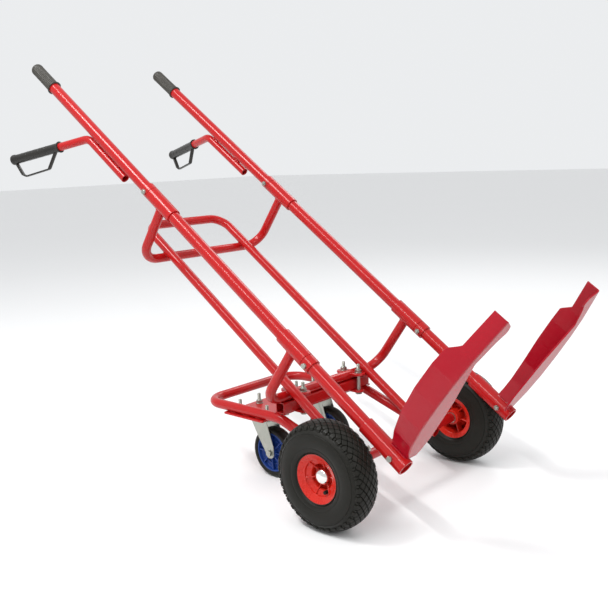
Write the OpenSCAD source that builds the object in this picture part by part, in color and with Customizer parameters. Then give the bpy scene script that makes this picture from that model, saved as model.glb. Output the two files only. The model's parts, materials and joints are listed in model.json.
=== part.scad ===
// Tyre trolley: a convertible hand truck of bent steel tube.
// Two pneumatic wheels carry it tipped back like a sack truck, and two swivel castors let it
// stand and roll reclined. Each side rail turns in two sleeves and swings its toe blade and
// its D-handle with it. +X points forwards (the toe), +Y to the left and +Z up.

/* [Main wheels] */
// Outer diameter of a main wheel
wheel_d = 268; // [262:1:270]
// Width of a main tyre
tyre_w = 90; // [84:1:92]
// Distance between the centre planes of the main wheels
track = 582; // [576:1:600]
// Diameter of the axle shaft
shaft_d = 20; // [18:0.5:20]

/* [Side rails] */
// Angle of the rails above the floor
lean = 35.8; // [34:0.1:37]
// Distance between the axes of the two rails
rail_spacing = 480; // [470:1:490]
// Outer diameter of a rail tube
rail_d = 34; // [33:0.1:35]
// Outer diameter of the sleeves and collars round a rail
sleeve_d = 42; // [41:0.5:44]
// Length of a rail from the end of its toe sleeve to the end of its grip
rail_length = 1730; // [1700:1:1760]
// Distance of the toe sleeve's end in front of the axle
toe_reach = 194; // [190:1:200]
// Height of the toe sleeve's end above the floor
toe_height = 178; // [175:1:181]

/* [Frame] */
// Outer diameter of the frame tubes
tube_d = 27; // [26:0.1:27]
// Wall of the frame tubes
tube_wall = 2.5; // [2:0.1:3]
// Depth of the two bows behind the rails
bow_depth = 199; // [196:0.5:202]
// Distance up the rail to the middle of the lower bow
lower_bow_at = 406; // [400:1:412]
// Distance up the rail to the middle of the upper bow
upper_bow_at = 998; // [980:1:1010]
// Distance up the rail to the top of the long frame loop
loop_top_at = 1117; // [1100:1:1130]
// Distance from the axle back to the castor frame's rear tube
castor_frame_back = 548; // [540:1:556]

/* [Castors] */
// Diameter of a castor wheel
castor_d = 140; // [136:1:141]
// Width of a castor wheel
castor_w = 36; // [32:1:37]
// Distance from the axle back to the castors' swivel axes
castor_back = 381; // [376:1:386]
// Distance of the castor wheel's axle in front of its swivel axis
castor_trail = 41; // [36:1:44]

/* [Handles] */
// Length of the plastic grip on each rail end
grip_length = 118; // [110:1:125]
// Distance from the bracket's bend to the end of the D-handle
handle_arm = 316; // [312:1:320]
// Length of the D-handle's grip
d_grip_length = 200; // [198:1:202]
// Outer diameter of the handle bracket tube
bracket_d = 25; // [24:0.1:25]

/* [Toe blades] */
// Reach of a toe blade in front of the rail
blade_reach = 434; // [430:1:440]
// Sheet thickness of a toe blade
blade_t = 4; // [3:0.1:4]

/* [Hidden] */
$fn = 48;

LEFT = 1;
RIGHT = -1;
RED = "firebrick";
ZINC = "silver";
BLACK = "dimgray";
fit_gap = 0.06;      // radial running clearance of a shaft in its bore
part_gap = 0.5;      // axial gap between pieces that turn past each other

// Rails, sleeves and collars
rail_y = rail_spacing / 2;
rail_r = rail_d / 2;
rail_wall = 2;
weld_lap = 1;
weld_step = 0.05;
sleeve_r = sleeve_d / 2;
toe_sleeve_length = 139;
lower_sleeve = [lower_bow_at - 46, lower_bow_at + 47];
upper_sleeve = [upper_bow_at - 54, upper_bow_at + 54];
collar_lower = [lower_sleeve[0] - 28, lower_sleeve[0] - part_gap];
collar_upper = [upper_sleeve[1] + part_gap, upper_sleeve[1] + 24];
toe_bolt_at = 37;
rail_bolts_at = [
  toe_bolt_at,
  (collar_lower[0] + collar_lower[1]) / 2,
  (collar_upper[0] + collar_upper[1]) / 2
];
rail_bolt_d = 8;
rail_bolt_hole_d = 8.4;
bolt_flats = 13;     // M8 heads and nuts
nut_h = 6.5;
lock_bolt_y = 130;
rail_start = 20;     // the rail stops short of its toe sleeve's open end
grip_r = 19.5;

// Where the axle and the frame tubes lie
tube_r = tube_d / 2;
axle_z = wheel_d / 2;
axle_along = toe_reach * cos(lean) - (toe_height - axle_z) * sin(lean);
axle_behind = toe_reach * sin(lean) + (toe_height - axle_z) * cos(lean);
loop_behind = bow_depth - tube_d;
loop_y = 153;
loop_bend = 50;
bow_bend = 60;
bow_x = toe_reach - lower_bow_at * cos(lean) - bow_depth * sin(lean);
bow_z = toe_height + lower_bow_at * sin(lean) - bow_depth * cos(lean);
axle_tube_half = 250;

// Castor frame, crossmember and clamps
cross_size = 30;
cross_wall = 2.5;
frame_z = bow_z - tube_d - cross_size;
frame_y = 180.5;
frame_bend = 60;
dip_x = -255;
dip_bend = 80;
dip_rise = frame_z - axle_z;
dip_angle = atan2(dip_rise, -dip_x) + asin((tube_d - 2) / sqrt(dip_x * dip_x + dip_rise * dip_rise));
dip_tangent = dip_bend * tan(dip_angle / 2);
dip_run = sqrt(dip_x * dip_x + dip_rise * dip_rise) - dip_tangent + 4;
plate_t = 5;
plate_top = frame_z - tube_r;
plate_x = [-457, -305];
plate_y = 199;
ear_t = 6;
ear_top = bow_z + 7;
ear_y = 118;
ear_w = 40;
clamp_pitch = 27;
clamp_bolt_d = 10;
backing_t = 5;

// Castors
castor_y = 117;
castor_r = castor_d / 2;
castor_top = plate_top - plate_t;
castor_hole_x = 105;
castor_hole_y = 75;
castor_bolt_d = 10;
castor_hole_d = 11;
castor_plate_size = [135, 110, 4];
bolt_stub = 20;
head_race_r = 33;
head_race_h = 8;
fork_gap = 43;
fork_t = 3;
fork_crown_z = castor_top - castor_plate_size[2] - head_race_h - part_gap;

// Main wheel, measured along its axle from its centre plane, outwards positive
hub_in = -36;
hub_out = 10;
hub_r = 21;
bearing_r = 14.5;
rim_flange_r = 63.5;
rim_half = 38;
rim_drum_r = 50;
bead_inner = 23;     // inner edge of the tyre's bead on the rim
rib_count = 6;
rib_turn = 12;       // angle of the first rib from +X, towards the floor
valve_turn = 56;
valve_r = 36;
valve_d = 8.2;
wheel_y = track / 2;
wheel_gap = 0.4;     // between a hub and the washers beside it
shaft_end = 6;       // how far the shaft stands out of a hub

// Handles
bracket_r = bracket_d / 2;
bracket_behind = 35;
bracket_start = 1176;
bracket_corner = 1383.5;
bracket_bend = 45;
handle_fold = 47.9;
handle_splay = 20.9;
guard_roll = 15.6;
weld_blocks_at = [1215, 1335];

// Toe blade: its folded edge as [reach in front of the rail, distance from the middle plane]
blade_sole = 10;     // distance of the sole from the toe sleeve's end
blade_fold = [
  [15, rail_y], [70, rail_y + 28], [128, rail_y + 41], [200, rail_y + 42],
  [272, rail_y + 36], [335, rail_y + 22], [blade_reach, rail_y - 17]
];
blade_inner = [
  [blade_reach - 33, rail_y - 60], [373, rail_y - 34], [329, rail_y - 10], [318, rail_y - 3],
  [197, rail_y - 34], [75, rail_y - 48], [41, rail_y - 44], [4, rail_y - 21]
];
blade_tip_r = 20;
// Upper edge of the blade's upright wall as [reach, distance along the rail]
blade_edge = [
  [blade_reach + 5, 47], [342, 49], [316, 73], [272, 76], [200, 76], [128, 71], [43, 62], [10, 60]
];

// The origin lies on the floor under the middle of the object's length
back_x = toe_reach - (bracket_corner + handle_arm * cos(handle_fold)) * cos(lean)
  - (bracket_behind + handle_arm * sin(handle_fold) * cos(handle_splay)) * sin(lean);
front_x = toe_reach + blade_reach * sin(lean) - blade_sole * cos(lean);
axle_x = -(front_x + back_x) / 2;

// ---- Frames of reference ----

module from_axle() {
  translate([axle_x, 0, 0]) children();
}

// X in front of the rails, Y to the left, Z up along the rails
module in_rail_frame() {
  from_axle() translate([toe_reach, 0, toe_height]) rotate([0, lean - 90, 0]) children();
}

// Pieces are drawn for the left side and mirrored for the right
module on_side(side) {
  if (side == LEFT) children();
  else mirror([0, 1, 0]) children();
}

// Main wheel: Z outwards along the axle from the wheel's centre plane
module at_wheel(side) {
  from_axle() on_side(side) translate([0, wheel_y, axle_z]) rotate([-90, 0, 0]) children();
}

// Castor: on its swivel axis at floor level
module at_castor(side) {
  from_axle() on_side(side) translate([-castor_back, castor_y, 0]) children();
}

// Castor wheel: Z along its axle
module at_castor_wheel(side) {
  at_castor(side) translate([castor_trail, 0, castor_r]) rotate([-90, 0, 0]) children();
}

// D-handle: Z along the grip from the bracket's corner, X towards the knuckle guard
module in_handle_frame(side) {
  in_rail_frame() on_side(side) translate([-bracket_behind, rail_y, bracket_corner])
    rotate([0, 0, 180 - handle_splay]) rotate([0, handle_fold, 0]) children();
}

// ---- Shared shapes ----

module ring(d, wall) {
  difference() {
    circle(d = d);
    circle(d = d - 2 * wall);
  }
}

module straight(length, d = tube_d, wall = tube_wall) {
  linear_extrude(length) ring(d, wall);
}

// Tube bend that starts along Z and turns towards X
module bend(radius, angle, d = tube_d, wall = tube_wall) {
  translate([radius, 0, 0]) rotate([90, 0, 180]) rotate_extrude(angle = angle)
    translate([radius, 0]) ring(d, wall);
}

// Straight tube that carries on from a bend, let a little into its end
module run_on(radius, angle, length, d = tube_d, wall = tube_wall) {
  translate([radius * (1 - cos(angle)), 0, radius * sin(angle)]) rotate([0, angle, 0])
    translate([0, 0, -weld_lap])
      straight(length + weld_lap, d - 2 * weld_step, wall - 2 * weld_step);
}

// U-shaped tube: out along Z, across to X = span and back again
module u_tube(leg, radius, span) {
  for (end = [0, 1])
    translate([end * span, 0, 0]) mirror([end, 0, 0]) {
      straight(leg - radius);
      translate([0, 0, leg - radius]) bend(radius, 90);
    }
  translate([radius, 0, leg]) rotate([0, 90, 0]) straight(span - 2 * radius);
}

module hex(across_flats, height) {
  cylinder(d = across_flats / cos(30), h = height, $fn = 6);
}

module at_corners(x, y) {
  for (sx = [-1, 1])
    for (sy = [-1, 1])
      translate([sx * x / 2, sy * y / 2, 0]) children();
}

module sleeve_pair(span) {
  for (side = [LEFT, RIGHT])
    translate([0, side * rail_y, span[0]]) difference() {
      cylinder(r = sleeve_r, h = span[1] - span[0]);
      translate([0, 0, -1]) cylinder(r = rail_r + fit_gap, h = span[1] - span[0] + 2);
    }
}

module bow(at) {
  difference() {
    translate([0, rail_y, at]) rotate([0, -90, 0]) rotate([0, 0, -90])
      u_tube(bow_depth, bow_bend, rail_spacing);
    for (side = [LEFT, RIGHT])
      translate([0, side * rail_y, at - tube_d]) cylinder(r = sleeve_r, h = 2 * tube_d);
  }
}

// ---- Welded frame ----

module chassis_loop() {
  color(RED) in_rail_frame() difference() {
    translate([-loop_behind, loop_y, axle_along - 10]) rotate([0, 0, -90])
      u_tube(loop_top_at - axle_along + 10, loop_bend, 2 * loop_y);
    translate([-axle_behind, 0, axle_along]) rotate([90, 0, 0])
      cylinder(r = tube_r, h = 4 * loop_y, center = true);
  }
}

module upper_bow() {
  color(RED) in_rail_frame() bow(upper_bow_at);
}

module lower_bow() {
  color(RED) in_rail_frame() bow(lower_bow_at);
}

module upper_sleeves() {
  color(RED) in_rail_frame() sleeve_pair(upper_sleeve);
}

module lower_sleeves() {
  color(RED) in_rail_frame() sleeve_pair(lower_sleeve);
}

module axle_bolt_holes() {
  for (side = [LEFT, RIGHT])
    translate([0, side * lock_bolt_y, -tube_d]) cylinder(d = rail_bolt_hole_d, h = 2 * tube_d);
}

module axle_tube() {
  color(RED) from_axle() translate([0, 0, axle_z]) difference() {
    rotate([90, 0, 0]) cylinder(r = tube_r, h = 2 * axle_tube_half, center = true);
    rotate([90, 0, 0]) cylinder(d = shaft_d + 0.4, h = 2 * axle_tube_half + 2, center = true);
    axle_bolt_holes();
  }
}

module axle_shaft() {
  color(ZINC) from_axle() translate([0, 0, axle_z]) difference() {
    rotate([90, 0, 0]) cylinder(d = shaft_d, h = 2 * (wheel_y + hub_out + shaft_end), center = true);
    axle_bolt_holes();
  }
}

module axle_lock_bolts() {
  color(ZINC) from_axle() for (side = [LEFT, RIGHT])
    translate([0, side * lock_bolt_y, axle_z]) {
      translate([0, 0, -tube_r - 5.3]) hex(bolt_flats, 5.3);
      translate([0, 0, -tube_r]) cylinder(d = rail_bolt_d, h = tube_d + 12);
      translate([0, 0, tube_r]) hex(bolt_flats, nut_h);
    }
}

module wheel_washers() {
  color(ZINC) for (side = [LEFT, RIGHT])
    at_wheel(side) difference() {
      union() {
        translate([0, 0, axle_tube_half - wheel_y]) cylinder(d = 30, h = wheel_y - axle_tube_half + hub_in - wheel_gap);
        translate([0, 0, hub_out + wheel_gap]) cylinder(d = 28, h = 1.5);
      }
      cylinder(d = shaft_d, h = 2 * wheel_y, center = true);
    }
}

module hub_cap(side) {
  base = hub_out + wheel_gap + 1.5;
  color(ZINC) at_wheel(side) difference() {
    rotate_extrude() polygon([
      [0, base], [20, base], [20.5, base + 1], [20.5, base + 3], [18.5, base + 8], [14, base + 12],
      [7, base + 14.2], [0, base + 15]
    ]);
    translate([0, 0, -1]) cylinder(d = shaft_d, h = hub_out + shaft_end + 1);
  }
}

// ---- Castor frame ----

module castor_frame() {
  color(RED) from_axle() difference() {
    union() {
      translate([dip_x - dip_tangent, frame_y, frame_z]) rotate([0, -90, 0]) rotate([0, 0, -90])
        u_tube(castor_frame_back + dip_x - dip_tangent, frame_bend, 2 * frame_y);
      for (side = [LEFT, RIGHT])
        translate([dip_x - dip_tangent, side * frame_y, frame_z]) rotate([0, 90, 0]) {
          bend(dip_bend, dip_angle);
          run_on(dip_bend, dip_angle, dip_run);
        }
    }
    translate([0, 0, axle_z]) rotate([90, 0, 0])
      cylinder(r = tube_r, h = 3 * frame_y, center = true);
  }
}

module crossmember() {
  color(RED) from_axle() translate([bow_x, 0, bow_z - tube_r - cross_size / 2])
    rotate([90, 0, 0]) linear_extrude(2 * frame_y + 2, center = true) difference() {
      square(cross_size, center = true);
      square(cross_size - 2 * cross_wall, center = true);
    }
}

module castor_plate() {
  color(RED) from_axle() difference() {
    translate([plate_x[0], -plate_y, plate_top - plate_t])
      cube([plate_x[1] - plate_x[0], 2 * plate_y, plate_t]);
    for (side = [LEFT, RIGHT])
      translate([-castor_back, side * castor_y, plate_top - plate_t - 1])
        at_corners(castor_hole_x, castor_hole_y) cylinder(d = castor_hole_d, h = plate_t + 2);
  }
}

// Flat bar with round ends along X
module round_bar(pitch, width, thickness) {
  linear_extrude(thickness) {
    square([2 * pitch, width], center = true);
    for (sx = [-1, 1])
      translate([sx * pitch, 0]) circle(d = width);
  }
}

module at_clamps() {
  for (side = [LEFT, RIGHT])
    translate([bow_x, side * ear_y, 0]) children();
}

module clamp_holes() {
  for (sx = [-1, 1])
    translate([sx * clamp_pitch, 0, 0])
      cylinder(d = castor_hole_d, h = 20, center = true);
}

module clamp_ears() {
  color(RED) from_axle() difference() {
    at_clamps() translate([0, 0, ear_top - ear_t]) difference() {
      round_bar(clamp_pitch, ear_w, ear_t);
      clamp_holes();
    }
    translate([bow_x, 0, bow_z]) rotate([90, 0, 0])
      cylinder(r = tube_r, h = 4 * ear_y, center = true);
  }
}

module clamp_backings() {
  color(RED) from_axle() at_clamps() translate([0, 0, bow_z - tube_r - cross_size - backing_t])
    difference() {
      round_bar(clamp_pitch, ear_w - 10, backing_t);
      clamp_holes();
    }
}

module clamp_bolts() {
  bottom = bow_z - tube_r - cross_size - backing_t;
  color(ZINC) from_axle() at_clamps() for (sx = [-1, 1])
    translate([sx * clamp_pitch, 0, bottom]) {
      translate([0, 0, -6.4]) hex(16, 6.4);
      cylinder(d = clamp_bolt_d, h = ear_top - bottom + 26);
    }
}

module clamp_nuts() {
  color(ZINC) from_axle() at_clamps() for (sx = [-1, 1])
    translate([sx * clamp_pitch, 0, ear_top]) difference() {
      union() {
        cylinder(d = 20, h = 2);
        hex(16, 10.4);
      }
      translate([0, 0, -1]) cylinder(d = clamp_bolt_d, h = 13);
    }
}

module at_castor_bolts() {
  for (side = [LEFT, RIGHT])
    at_castor(side) at_corners(castor_hole_x, castor_hole_y) children();
}

module castor_bolts() {
  seat = castor_top - castor_plate_size[2];
  color(ZINC) at_castor_bolts() {
    translate([0, 0, seat - 6.4]) hex(16, 6.4);
    translate([0, 0, seat]) cylinder(d = castor_bolt_d, h = plate_top - seat + 10 + bolt_stub);
  }
}

module castor_washers() {
  color(ZINC) at_castor_bolts() translate([0, 0, plate_top]) difference() {
    cylinder(d = 20, h = 2);
    translate([0, 0, -1]) cylinder(d = castor_bolt_d, h = 4);
  }
}

module castor_nuts() {
  color(ZINC) at_castor_bolts() translate([0, 0, plate_top + 2]) difference() {
    hex(16, 8.4);
    translate([0, 0, -1]) cylinder(d = castor_bolt_d, h = 11);
  }
}

// ---- Castors ----

module castor_head(side) {
  color(ZINC) at_castor(side) difference() {
    union() {
      translate([0, 0, castor_top - castor_plate_size[2] / 2]) cube(castor_plate_size, center = true);
      translate([0, 0, castor_top - castor_plate_size[2] - head_race_h])
        cylinder(r = head_race_r, h = head_race_h + 1);
    }
    translate([0, 0, castor_top - castor_plate_size[2] - 1])
      at_corners(castor_hole_x, castor_hole_y) cylinder(d = castor_hole_d, h = 6);
    translate([0, 0, castor_top - 20]) cylinder(d = 12, h = 30);
  }
}

module castor_kingpins() {
  color(ZINC) for (side = [LEFT, RIGHT])
    at_castor(side) {
      translate([0, 0, fork_crown_z - fork_t - 9]) cylinder(d = 12, h = castor_top - fork_crown_z + fork_t + 9);
      translate([0, 0, fork_crown_z - fork_t - 12.5]) cylinder(d = 20, h = 12 - part_gap);
    }
}

// One cheek of the fork, from the crown down to the axle
module fork_cheek() {
  linear_extrude(fork_t) difference() {
    union() {
      polygon([
        [-30, fork_crown_z], [-30, fork_crown_z - 12], [-22, fork_crown_z - 36],
        [castor_trail - 15, castor_r - 4], [castor_trail + 15, castor_r],
        [castor_trail + 12, fork_crown_z - 26], [castor_trail - 2, fork_crown_z - 8],
        [30, fork_crown_z]
      ]);
      translate([castor_trail, castor_r]) circle(r = 15.5);
    }
    translate([castor_trail, castor_r]) circle(d = 12);
  }
}

module castor_fork(side) {
  color(ZINC) at_castor(side) {
    for (cheek = [-1, 1])
      translate([0, cheek * (fork_gap + fork_t) / 2 + fork_t / 2, 0]) rotate([90, 0, 0]) fork_cheek();
    difference() {
      translate([0, 0, fork_crown_z - fork_t]) intersection() {
        cylinder(r = 39, h = fork_t);
        cube([60, fork_gap + 2 * fork_t, 3 * fork_t], center = true);
      }
      translate([0, 0, fork_crown_z - 10]) cylinder(d = 12 + 2 * fit_gap, h = 20);
    }
  }
}

module castor_axle(side) {
  half = fork_gap / 2 + fork_t;
  color(ZINC) at_castor_wheel(side) {
    cylinder(d = 12, h = 2 * half, center = true);
    translate([0, 0, half]) hex(16, 6);
    translate([0, 0, -half - 8]) hex(16, 8);
  }
}

module castor_hub(side) {
  color("royalblue") at_castor_wheel(side) difference() {
    union() {
      rotate_extrude() polygon([
        [12, -20], [16, -20], [16, -5], [castor_r - 19, -5], [castor_r - 19, -14],
        [castor_r - 15, -14], [castor_r - 15, 14], [castor_r - 19, 14], [castor_r - 19, 5],
        [16, 5], [16, 20], [12, 20]
      ]);
      for (rib = [0 : 7])
        rotate([0, 0, rib * 45]) translate([14, -1.5, -13]) cube([castor_r - 32, 3, 26]);
      cylinder(r = 12.5, h = 40, center = true);
    }
    cylinder(d = 12 + 2 * fit_gap, h = 50, center = true);
  }
}

module castor_tyre(side) {
  half = castor_w / 2;
  color(BLACK) at_castor_wheel(side) rotate_extrude() polygon([
    [castor_r - 15, -14], [castor_r - 13, -half + 2], [castor_r - 8, -half], [castor_r - 4, -half + 2],
    [castor_r - 1, -half + 8], [castor_r, -half + 13], [castor_r, half - 13],
    [castor_r - 1, half - 8], [castor_r - 4, half - 2], [castor_r - 8, half],
    [castor_r - 13, half - 2], [castor_r - 15, 14]
  ]);
}

// ---- Main wheels ----

module tyre(side) {
  half = tyre_w / 2;
  r = wheel_d / 2;
  color(BLACK) at_wheel(side) rotate_extrude() polygon([
    [rim_drum_r, -bead_inner], [rim_drum_r, -rim_half + 9], [rim_flange_r, -rim_half + 3],
    [rim_flange_r, -rim_half], [76, -half + 1], [92, -half], [r - 26, -half + 2],
    [r - 13, -half + 7], [r - 5, -half + 15], [r - 1, -half + 25], [r, -half + 37],
    [r, half - 37], [r - 1, half - 25], [r - 5, half - 15], [r - 13, half - 7],
    [r - 26, half - 2], [92, half], [76, half - 1], [rim_flange_r, rim_half],
    [rim_flange_r, rim_half - 3], [rim_drum_r, rim_half - 9], [rim_drum_r, bead_inner],
    [66, bead_inner + 5], [92, rim_half - 3], [110, bead_inner + 7], [121, 16], [123, 0],
    [121, -16], [110, -bead_inner - 7], [92, -rim_half + 3], [66, -bead_inner - 5]
  ]);
}

module inner_tube(side) {
  color("black") at_wheel(side) rotate_extrude() translate([84, 0]) ring(50, 2);
}

module rim(side) {
  color("red") at_wheel(side) difference() {
    union() {
      rotate_extrude() polygon([
        [bearing_r, hub_in], [hub_r, hub_in], [hub_r + 1, -3], [33, 0.5], [33.5, 15],
        [34.5, 17], [44.5, 22], [rim_drum_r - 4, 25], [rim_drum_r - 4, -rim_half + 4],
        [rim_flange_r - 4, -rim_half], [rim_flange_r, -rim_half],
        [rim_flange_r, -rim_half + 3], [rim_drum_r, -rim_half + 9],
        [rim_drum_r, rim_half - 9], [rim_flange_r, rim_half - 3], [rim_flange_r, rim_half],
        [rim_flange_r - 4, rim_half], [46.5, 31], [44, 28], [43, 24.5], [32.5, 19], [31, 17],
        [30, 4], [hub_r + 1, 3], [hub_r, hub_out], [bearing_r, hub_out]
      ]);
      for (rib = [0 : rib_count - 1])
        rotate([90, 0, rib_turn + rib * 360 / rib_count]) linear_extrude(3, center = true) {
          polygon([
            [hub_r - 1, 2], [hub_r - 1, hub_out], [hub_r + 0.5, hub_out], [hub_r + 0.5, hub_out + 5],
            [44, 28.5], [45, 24], [32, 16], [31, 2]
          ]);
          translate([hub_r - 1, -24]) square([rim_drum_r - hub_r - 1, 24]);
        }
    }
    cylinder(r = bearing_r, h = 100, center = true);
    rotate([0, 0, valve_turn]) translate([valve_r, 0, 20]) cylinder(d = valve_d, h = 40, center = true);
  }
}

module wheel_bearings(side) {
  color(ZINC) at_wheel(side) for (at = [hub_in, hub_out - 18])
    translate([0, 0, at]) difference() {
      cylinder(r = bearing_r, h = 18);
      translate([0, 0, -1]) cylinder(r = shaft_d / 2 + fit_gap, h = 20);
    }
}

module valve(side) {
  color("black") at_wheel(side) rotate([0, 0, valve_turn]) translate([valve_r, 0, 12]) {
    cylinder(d = valve_d, h = 13);
    translate([0, 0, 12.5]) cylinder(d = 9.5, h = 9);
  }
}

// ---- Turning rails ----

module rail_bolt_holes() {
  for (at = rail_bolts_at)
    translate([0, 0, at]) rotate([90, 0, 0]) cylinder(d = rail_bolt_hole_d, h = 2 * sleeve_d, center = true);
}

module rail(side) {
  length = rail_length - rail_start - 4;
  color(RED) in_rail_frame() on_side(side) translate([0, rail_y, 0]) difference() {
    translate([0, 0, rail_start]) straight(length, rail_d, rail_wall);
    rail_bolt_holes();
  }
}

module rail_collar(span) {
  difference() {
    translate([0, 0, span[0]]) cylinder(r = sleeve_r, h = span[1] - span[0]);
    cylinder(r = rail_r, h = rail_length);
    rail_bolt_holes();
  }
}

module collars(side) {
  color(RED) in_rail_frame() on_side(side) translate([0, rail_y, 0]) {
    rail_collar(collar_lower);
    rail_collar(collar_upper);
  }
}

module toe_sleeve(side) {
  color(RED) in_rail_frame() on_side(side) translate([0, rail_y, 0]) difference() {
    cylinder(r = sleeve_r, h = toe_sleeve_length);
    translate([0, 0, -1]) cylinder(r = rail_r, h = toe_sleeve_length + 2);
    rail_bolt_holes();
  }
}

module rail_bolts(side) {
  color(ZINC) in_rail_frame() on_side(side) for (at = rail_bolts_at)
    translate([0, rail_y, at]) rotate([-90, 0, 0]) {
      translate([0, 0, -sleeve_r - 9]) cylinder(d = rail_bolt_d, h = 2 * sleeve_r + 9);
      translate([0, 0, sleeve_r]) hex(bolt_flats, 5.3);
      translate([0, 0, -sleeve_r - nut_h]) hex(bolt_flats, nut_h);
    }
}

module blade_sole_outline() {
  difference() {
    polygon(concat(blade_fold, blade_inner));
    translate([blade_reach - blade_tip_r, rail_y - 60 - blade_tip_r]) square(2 * blade_tip_r);
  }
  translate([blade_reach - blade_tip_r - 2, rail_y - 39]) circle(r = blade_tip_r + 1.5);
}

module blade_wall_outline() {
  last = len(blade_fold) - 1;
  polygon(concat(blade_fold, [for (i = [last : -1 : 0]) blade_fold[i] - [0, blade_t]]));
}

module toe_blade(side) {
  color("crimson") in_rail_frame() on_side(side) difference() {
    union() {
      translate([0, 0, blade_sole]) linear_extrude(blade_t) blade_sole_outline();
      intersection() {
        translate([0, 0, blade_sole]) linear_extrude(90) blade_wall_outline();
        translate([0, 2 * rail_y, 0]) rotate([90, 0, 0]) linear_extrude(2 * rail_y)
          polygon(concat([[10, blade_sole], [blade_reach + 5, blade_sole]], blade_edge));
      }
    }
    translate([0, rail_y, -1]) cylinder(r = sleeve_r, h = 2 * toe_sleeve_length);
  }
}

module handle_bracket(side) {
  tangent = bracket_bend * tan(handle_fold / 2);
  run = bracket_corner - bracket_start - tangent;
  color(RED) in_rail_frame() on_side(side) difference() {
    union() {
      translate([-bracket_behind, rail_y, bracket_start]) rotate([0, 0, 180 - handle_splay]) {
        straight(run, bracket_d);
        translate([0, 0, run]) {
          bend(bracket_bend, handle_fold, bracket_d);
          run_on(bracket_bend, handle_fold, handle_arm - tangent - 10, bracket_d);
        }
      }
      for (at = weld_blocks_at)
        translate([-bracket_behind + bracket_r - 1.6, rail_y - 4.5, at]) cube([9, 9, 24]);
    }
    translate([0, rail_y, 0]) cylinder(r = rail_r, h = rail_length);
  }
}

module grip(side) {
  mouth = rail_length - grip_length;
  color(BLACK) in_rail_frame() on_side(side) translate([0, rail_y, mouth]) rotate_extrude() polygon([
    [rail_r, 0], [grip_r + 2.5, 0], [grip_r + 2.5, 3], [grip_r, 4], [grip_r - 0.5, grip_length - 8],
    [grip_r - 2.5, grip_length - 3], [grip_r - 6, grip_length], [0, grip_length],
    [0, grip_length - 4], [rail_r, grip_length - 4]
  ]);
}

module guard_outline() {
  difference() {
    polygon([
      [0, handle_arm - d_grip_length + 2], [18, handle_arm - d_grip_length + 12],
      [60, handle_arm - 144], [63, handle_arm - 36], [56, handle_arm - 18], [0, handle_arm + 3]
    ]);
    polygon([
      [10, handle_arm - 172], [20, handle_arm - 164], [53, handle_arm - 134],
      [56, handle_arm - 36], [20, handle_arm - 20], [10, handle_arm - 26]
    ]);
  }
}

module d_handle(side) {
  mouth = handle_arm - d_grip_length;
  r = bracket_r + 2;
  color(BLACK) in_handle_frame(side) rotate([0, 0, guard_roll]) difference() {
    union() {
      rotate_extrude() polygon([
        [0, mouth], [r + 3, mouth], [r + 3, mouth + 3], [r, mouth + 5], [r, handle_arm - 12],
        [r + 2, handle_arm - 8], [r + 2, handle_arm - 3], [r - 2, handle_arm + 3], [0, handle_arm + 3]
      ]);
      rotate([90, 0, 0]) linear_extrude(12, center = true) guard_outline();
    }
    cylinder(r = bracket_r, h = handle_arm - 9);
  }
}

chassis_loop();
upper_bow();
lower_bow();
upper_sleeves();
lower_sleeves();
axle_tube();
axle_shaft();
axle_lock_bolts();
wheel_washers();
hub_cap(LEFT);  // hub_cap_left
hub_cap(RIGHT);  // hub_cap_right
castor_frame();
crossmember();
castor_plate();
clamp_ears();
clamp_backings();
clamp_bolts();
clamp_nuts();
castor_bolts();
castor_washers();
castor_nuts();
castor_head(LEFT);  // castor_head_left
castor_head(RIGHT);  // castor_head_right
castor_kingpins();
rail(LEFT);  // rail_left
rail(RIGHT);  // rail_right
handle_bracket(LEFT);  // handle_bracket_left
handle_bracket(RIGHT);  // handle_bracket_right
grip(LEFT);  // grip_left
grip(RIGHT);  // grip_right
d_handle(LEFT);  // d_handle_left
d_handle(RIGHT);  // d_handle_right
collars(LEFT);  // collars_left
collars(RIGHT);  // collars_right
toe_sleeve(LEFT);  // toe_sleeve_left
toe_sleeve(RIGHT);  // toe_sleeve_right
toe_blade(LEFT);  // toe_blade_left
toe_blade(RIGHT);  // toe_blade_right
rail_bolts(LEFT);  // rail_bolts_left
rail_bolts(RIGHT);  // rail_bolts_right
tyre(LEFT);  // tyre_left
tyre(RIGHT);  // tyre_right
inner_tube(LEFT);  // inner_tube_left
inner_tube(RIGHT);  // inner_tube_right
rim(LEFT);  // rim_left
rim(RIGHT);  // rim_right
wheel_bearings(LEFT);  // wheel_bearings_left
wheel_bearings(RIGHT);  // wheel_bearings_right
valve(LEFT);  // valve_left
valve(RIGHT);  // valve_right
castor_fork(LEFT);  // castor_fork_left
castor_fork(RIGHT);  // castor_fork_right
castor_axle(LEFT);  // castor_axle_left
castor_axle(RIGHT);  // castor_axle_right
castor_hub(LEFT);  // castor_hub_left
castor_hub(RIGHT);  // castor_hub_right
castor_tyre(LEFT);  // castor_tyre_left
castor_tyre(RIGHT);  // castor_tyre_right
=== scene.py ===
"""Looks of the tyre trolley: its pieces, finishes, floor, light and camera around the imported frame."""

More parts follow.
